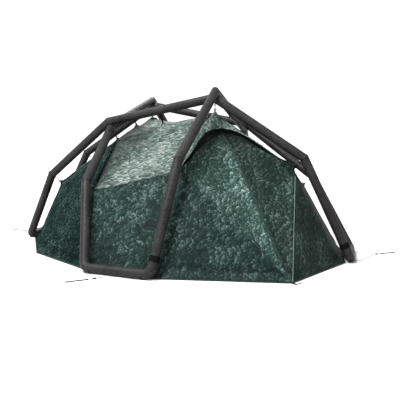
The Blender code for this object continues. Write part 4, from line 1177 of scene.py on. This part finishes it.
def hanger(start, target, line, inward):
    """A sewn tab, an elastic loop, a hook and the tab on the beam."""
    stop = surface_point(start, target, line)
    length = (stop - start).length
    way = (stop - start).normalized()
    across = way.orthogonal().normalized()
    aside = way.cross(across)
    tab_end = start + way * min(tab_length, tab_share * length)
    parts = [ribbon("tab", [start - way * tab_root + inward * tab_inward, start, tab_end], [across] * 3,
                    tab_width, tab_thickness, webbing_look)]
    hook_start = start.lerp(stop, hook_share)
    for side in (-1, 1):
        middle = tab_end.lerp(hook_start, 0.5) + aside * elastic_spread * side
        parts.append(tube("elastic", [tab_end, middle, hook_start], elastic_radius, 6, elastic_look))
    size = min(hook_size, hook_size_share * length)
    ring = []
    for step in range(13):
        angle = math.tau * step / 12 * hook_open
        ring.append(hook_start + way * size * (1 - math.cos(angle)) + aside * size * math.sin(angle) * 0.6)
    parts.append(tube("hook", ring, hook_radius, 6, plastic_look))
    hook_end = hook_start + way * size * 2
    tab_line = [hook_end - way * beam_tab_lap, hook_end.lerp(stop, 0.6), stop + way * beam_tab_sink]
    parts.append(ribbon("beam_tab", tab_line, [across] * 3, beam_tab_width, beam_tab_thickness,
                        webbing_look))
    return parts


def hem_tie(hem, shoulder, target, line):
    """A flat tie from the cloth just above the hem to the ground tube, where there is room for one."""
    start = hem.lerp(shoulder, tie_height / shoulder.z)
    stop = surface_point(start, target, line)
    if (stop - start).length <= tie_least:
        return []
    places = [start - (stop - start).normalized() * tie_root, start.lerp(stop, 0.5), stop]
    return [ribbon("tie", places, [UP] * 3, tie_width, tie_thickness, webbing_look)]


centre = corners[("centre",)]
hanger_parts = []
for sign in (-1, 1):
    for kind in ("side", "end"):
        corner = corners[f"{kind}_peak", sign]
        beams = [beam_route(*signs) for signs in quadrants.values()]
        nearest = min(beams, key=lambda line: distance_to(corner, line))
        hanger_parts += hanger(corner, crossing(kind, sign), nearest, (centre - corner).normalized())
for sx, sy in quadrants.values():
    corner, middle = corners["mid", sx, sy], (crossing("side", sx) + crossing("end", sy)) / 2
    hanger_parts += hanger(corner, middle, beam_route(-sx, sy), (centre - corner).normalized())
    own = {"side": beam_route(-sx, -sy), "end": beam_route(sx, sy)}
    for kind, line in own.items():
        corner, hem = corners[f"{kind}_shoulder", sx, sy], corners[f"{kind}_hem", sx, sy]
        hanger_parts += hanger(corner, knee(kind, sx, sy), line, (hem - corner).normalized())
        hanger_parts += hem_tie(hem, corner, foot(kind, sx, sy), own["side"])
settle(join("fly_hangers", hanger_parts))


def guy_loop(start, other_foot):
    """Place on the centre line and outward direction of the webbing loop near the foot of a ground tube."""
    along = (other_foot - start).normalized()
    outward = UP.cross(along)
    if outward.dot(start) < 0:
        outward = -outward
    place = start + along * foot_bend_radius
    return Vector((place.x, place.y, loop_height)), outward


loop_ends = {}
loop_parts = []
for quadrant, (sx, sy) in quadrants.items():
    for kind, other in (("side", "end"), ("end", "side")):
        place, outward = guy_loop(foot(kind, sx, sy), foot(other, sx, sy))
        sink = tube_radius - loop_sink
        path, ups = [], []
        for step in range(loop_steps + 1):
            angle = math.pi * step / loop_steps
            reach = sink + loop_root + (loop_length - loop_trim) * math.sin(angle)
            path.append(place + outward * reach + UP * loop_half_height * math.cos(angle))
            ups.append((UP * math.cos(angle) + outward * math.sin(angle)).normalized())
        loop_parts.append(ribbon("loop", path, ups, loop_width, loop_thickness, webbing_look))
        loop_ends[quadrant, kind] = (place + outward * (sink + loop_length + clearance), outward)
settle(join("guy_loops", loop_parts))


# Guy lines

def cord_points(route):
    """Points of a smooth curve through the corners of a route."""
    found = []
    for index in range(len(route) - 1):
        start, stop = route[index], route[index + 1]
        before = route[index - 1] if index > 0 else start
        after = route[index + 2] if index + 2 < len(route) else stop
        steps = max(2, math.ceil((stop - start).length / cord_spacing))
        lead, trail = (stop - before) / 2, (after - start) / 2
        for step in range(steps):
            t = step / steps
            found.append(start * (2 * t ** 3 - 3 * t ** 2 + 1) + lead * (t ** 3 - 2 * t ** 2 + t)
                         + stop * (3 * t ** 2 - 2 * t ** 3) + trail * (t ** 3 - t ** 2))
    found.append(route[-1])
    return found


def cord_curve(name, places, node):
    curve = bpy.data.curves.new(name, "CURVE")
    curve.dimensions = "3D"
    curve.bevel_depth = cord_radius
    curve.bevel_resolution = 3
    curve.use_fill_caps = True
    spline = curve.splines.new("POLY")
    spline.points.add(len(places) - 1)
    for target, place in zip(spline.points, places):
        target.co = (*place, 1)
    curve.materials.append(cord_look)
    made = linked(name, curve)
    settle(made, [node])
    return made


for quadrant, (apex_place, head_place) in guy_places.items():
    apex, head = Vector((*apex_place, runner_radius)), Vector((*head_place, runner_radius))
    way = (head - apex).normalized()
    (first, first_way), (second, second_way) = loop_ends[quadrant, "side"], loop_ends[quadrant, "end"]
    leave, arrive = first + first_way * loop_lead, second + second_way * loop_lead
    route = [first + first_way * loop_stub, leave, leave.lerp(apex, 0.5), apex]
    route += [arrive.lerp(apex, 0.5), arrive, second + second_way * loop_stub]
    places = [first, *cord_points(route), second]
    bridle = cord_curve(f"bridle_cord_{quadrant}", places, f"bridle_{quadrant}")
    start, stop = apex + way * guy_start, head - way * (peg_head_radius + clearance)
    places = cord_points([start, start.lerp(stop, 0.5), stop])
    guy = cord_curve(f"guy_cord_{quadrant}", places, f"guy_line_{quadrant}")


# Straps and pegs at the feet of the doors

def build_tip_anchor(end, sy):
    tip, outward = corners["end_tip", sy], Vector((0, sy, 0))
    places = []
    for step in range(strap_steps + 1):
        share = step / strap_steps
        places.append(tip + outward * (strap_root + share * (tip_strap_length + strap_over))
                      + UP * (strap_height + strap_rise * math.sin(math.pi * share)))
    strap = ribbon("strap", places, [UP] * len(places), strap_width, strap_thickness, webbing_look)
    head = tip + outward * (clearance + tip_strap_length + peg_head_radius) + UP * peg_height
    way = Matrix.Rotation(math.radians(peg_turn_deg), 3, "Z") @ UP.cross(outward)
    shaft = [head + way * share * peg_length for share in (0, 0.25, 0.5, 0.8, 1)]
    peg = tube("peg", shaft, peg_radius, 10, metal_look, peg_tip_share)
    first, second = Vector((eye_radius, 0, 0)), Vector((0, eye_radius, 0))
    ring = [head + spoke(first, second, step, 12) for step in range(13)]
    eye = tube("eye", ring, eye_thickness, 8, metal_look)
    settle(join(f"{end}_tip_strap_and_peg", [strap, peg, eye]), [f"{end}_tip_anchor"])


for end, sy in door_ends.items():
    build_tip_anchor(end, sy)

# Beams and bands
for quadrant in quadrants:
    build_beam(quadrant)
    build_cuff(quadrant)
    build_knee_seams(quadrant)

# Rigid pieces that keep their solids
kept = {f"{kind}_{quadrant}": metal_look if kind == "peg" else plastic_look
        for quadrant in quadrants for kind in ("inflation_valve", "valve_cap", "line_runner", "peg")}
kept |= {f"{end}_zip_slider": metal_look for end in door_ends}
for node, look in kept.items():
    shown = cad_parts[node]
    shown.data.materials.clear()
    shown.data.materials.append(look)
    edge = shown.modifiers.new("edges", "BEVEL")
    edge.width = solid_edge
    edge.segments = 2
    edge.limit_method = "ANGLE"


# Floor, lights and camera

floor_outline = ((-1, -1), (1, -1), (1, 1), (-1, 1))
floor_corners = [(x * floor_reach, y * floor_reach, -floor_drop) for x, y in floor_outline]
floor = new_object("floor", floor_corners, [(0, 1, 2, 3)], [floor_material()])


def area_light(name, place, target, size, power):
    data = bpy.data.lights.new(name, "AREA")
    data.shape = "DISK"
    data.size = size
    data.energy = power
    light = linked(name, data)
    light.location = place
    light.rotation_mode = "QUATERNION"
    light.rotation_quaternion = (Vector(target) - Vector(place)).to_track_quat("-Z", "Y")


def build_world():
    """Grey light from low down to white light from above, and plain white for the camera."""
    world = bpy.data.worlds.new("studio")
    bpy.context.scene.world = world
    sky = Nodes(world)
    direction = sky.node("ShaderNodeTexCoord").outputs["Generated"]
    facing = sky.vector("DOT_PRODUCT", {0: direction, 1: (-0.15, 0.45, 0.88)}, "Value")
    inputs = {"Value": facing, "From Min": -1, "From Max": 1}
    spread = sky.node("ShaderNodeMapRange", inputs).outputs["Result"]
    sky.finish({"Color": sky.ramp(spread, (0.10, 0.12), (0.66, 1.0)), "Strength": 0.72}, "Background")
    backdrop = sky.node("ShaderNodeBackground", {"Color": (1, 1, 1, 1), "Strength": 1.2})
    seen = sky.node("ShaderNodeLightPath").outputs["Is Camera Ray"]
    gradient = sky.tree.nodes["Background"].outputs[0]
    choice = sky.node("ShaderNodeMixShader", {0: seen, 1: gradient, 2: backdrop.outputs[0]})
    sky.finish({"Surface": choice.outputs[0]}, "World Output")


def build_camera():
    data = bpy.data.cameras.new("camera")
    data.lens = camera_lens
    data.sensor_width = 36
    camera = linked("camera", data)
    camera.location = camera_place
    facing = (Vector(camera_target) - Vector(camera_place)).to_track_quat("-Z", "Y").to_matrix()
    camera.rotation_mode = "QUATERNION"
    roll = Matrix.Rotation(math.radians(camera_roll_deg), 3, "Z")
    camera.rotation_quaternion = (facing @ roll).to_quaternion()
    bpy.context.scene.camera = camera


area_light("key", (-3.7, -1.5, 7.3), (0, -0.2, 0.5), 3.4, 1090)
area_light("fill", (-1.5, -8.0, 2.4), (0, 0, 0.5), 5.0, 25)
area_light("back", (3.2, 6.4, 4.6), (0, 0, 0.4), 4.0, 300)
build_world()
bpy.context.scene.view_settings.view_transform = "Standard"
build_camera()
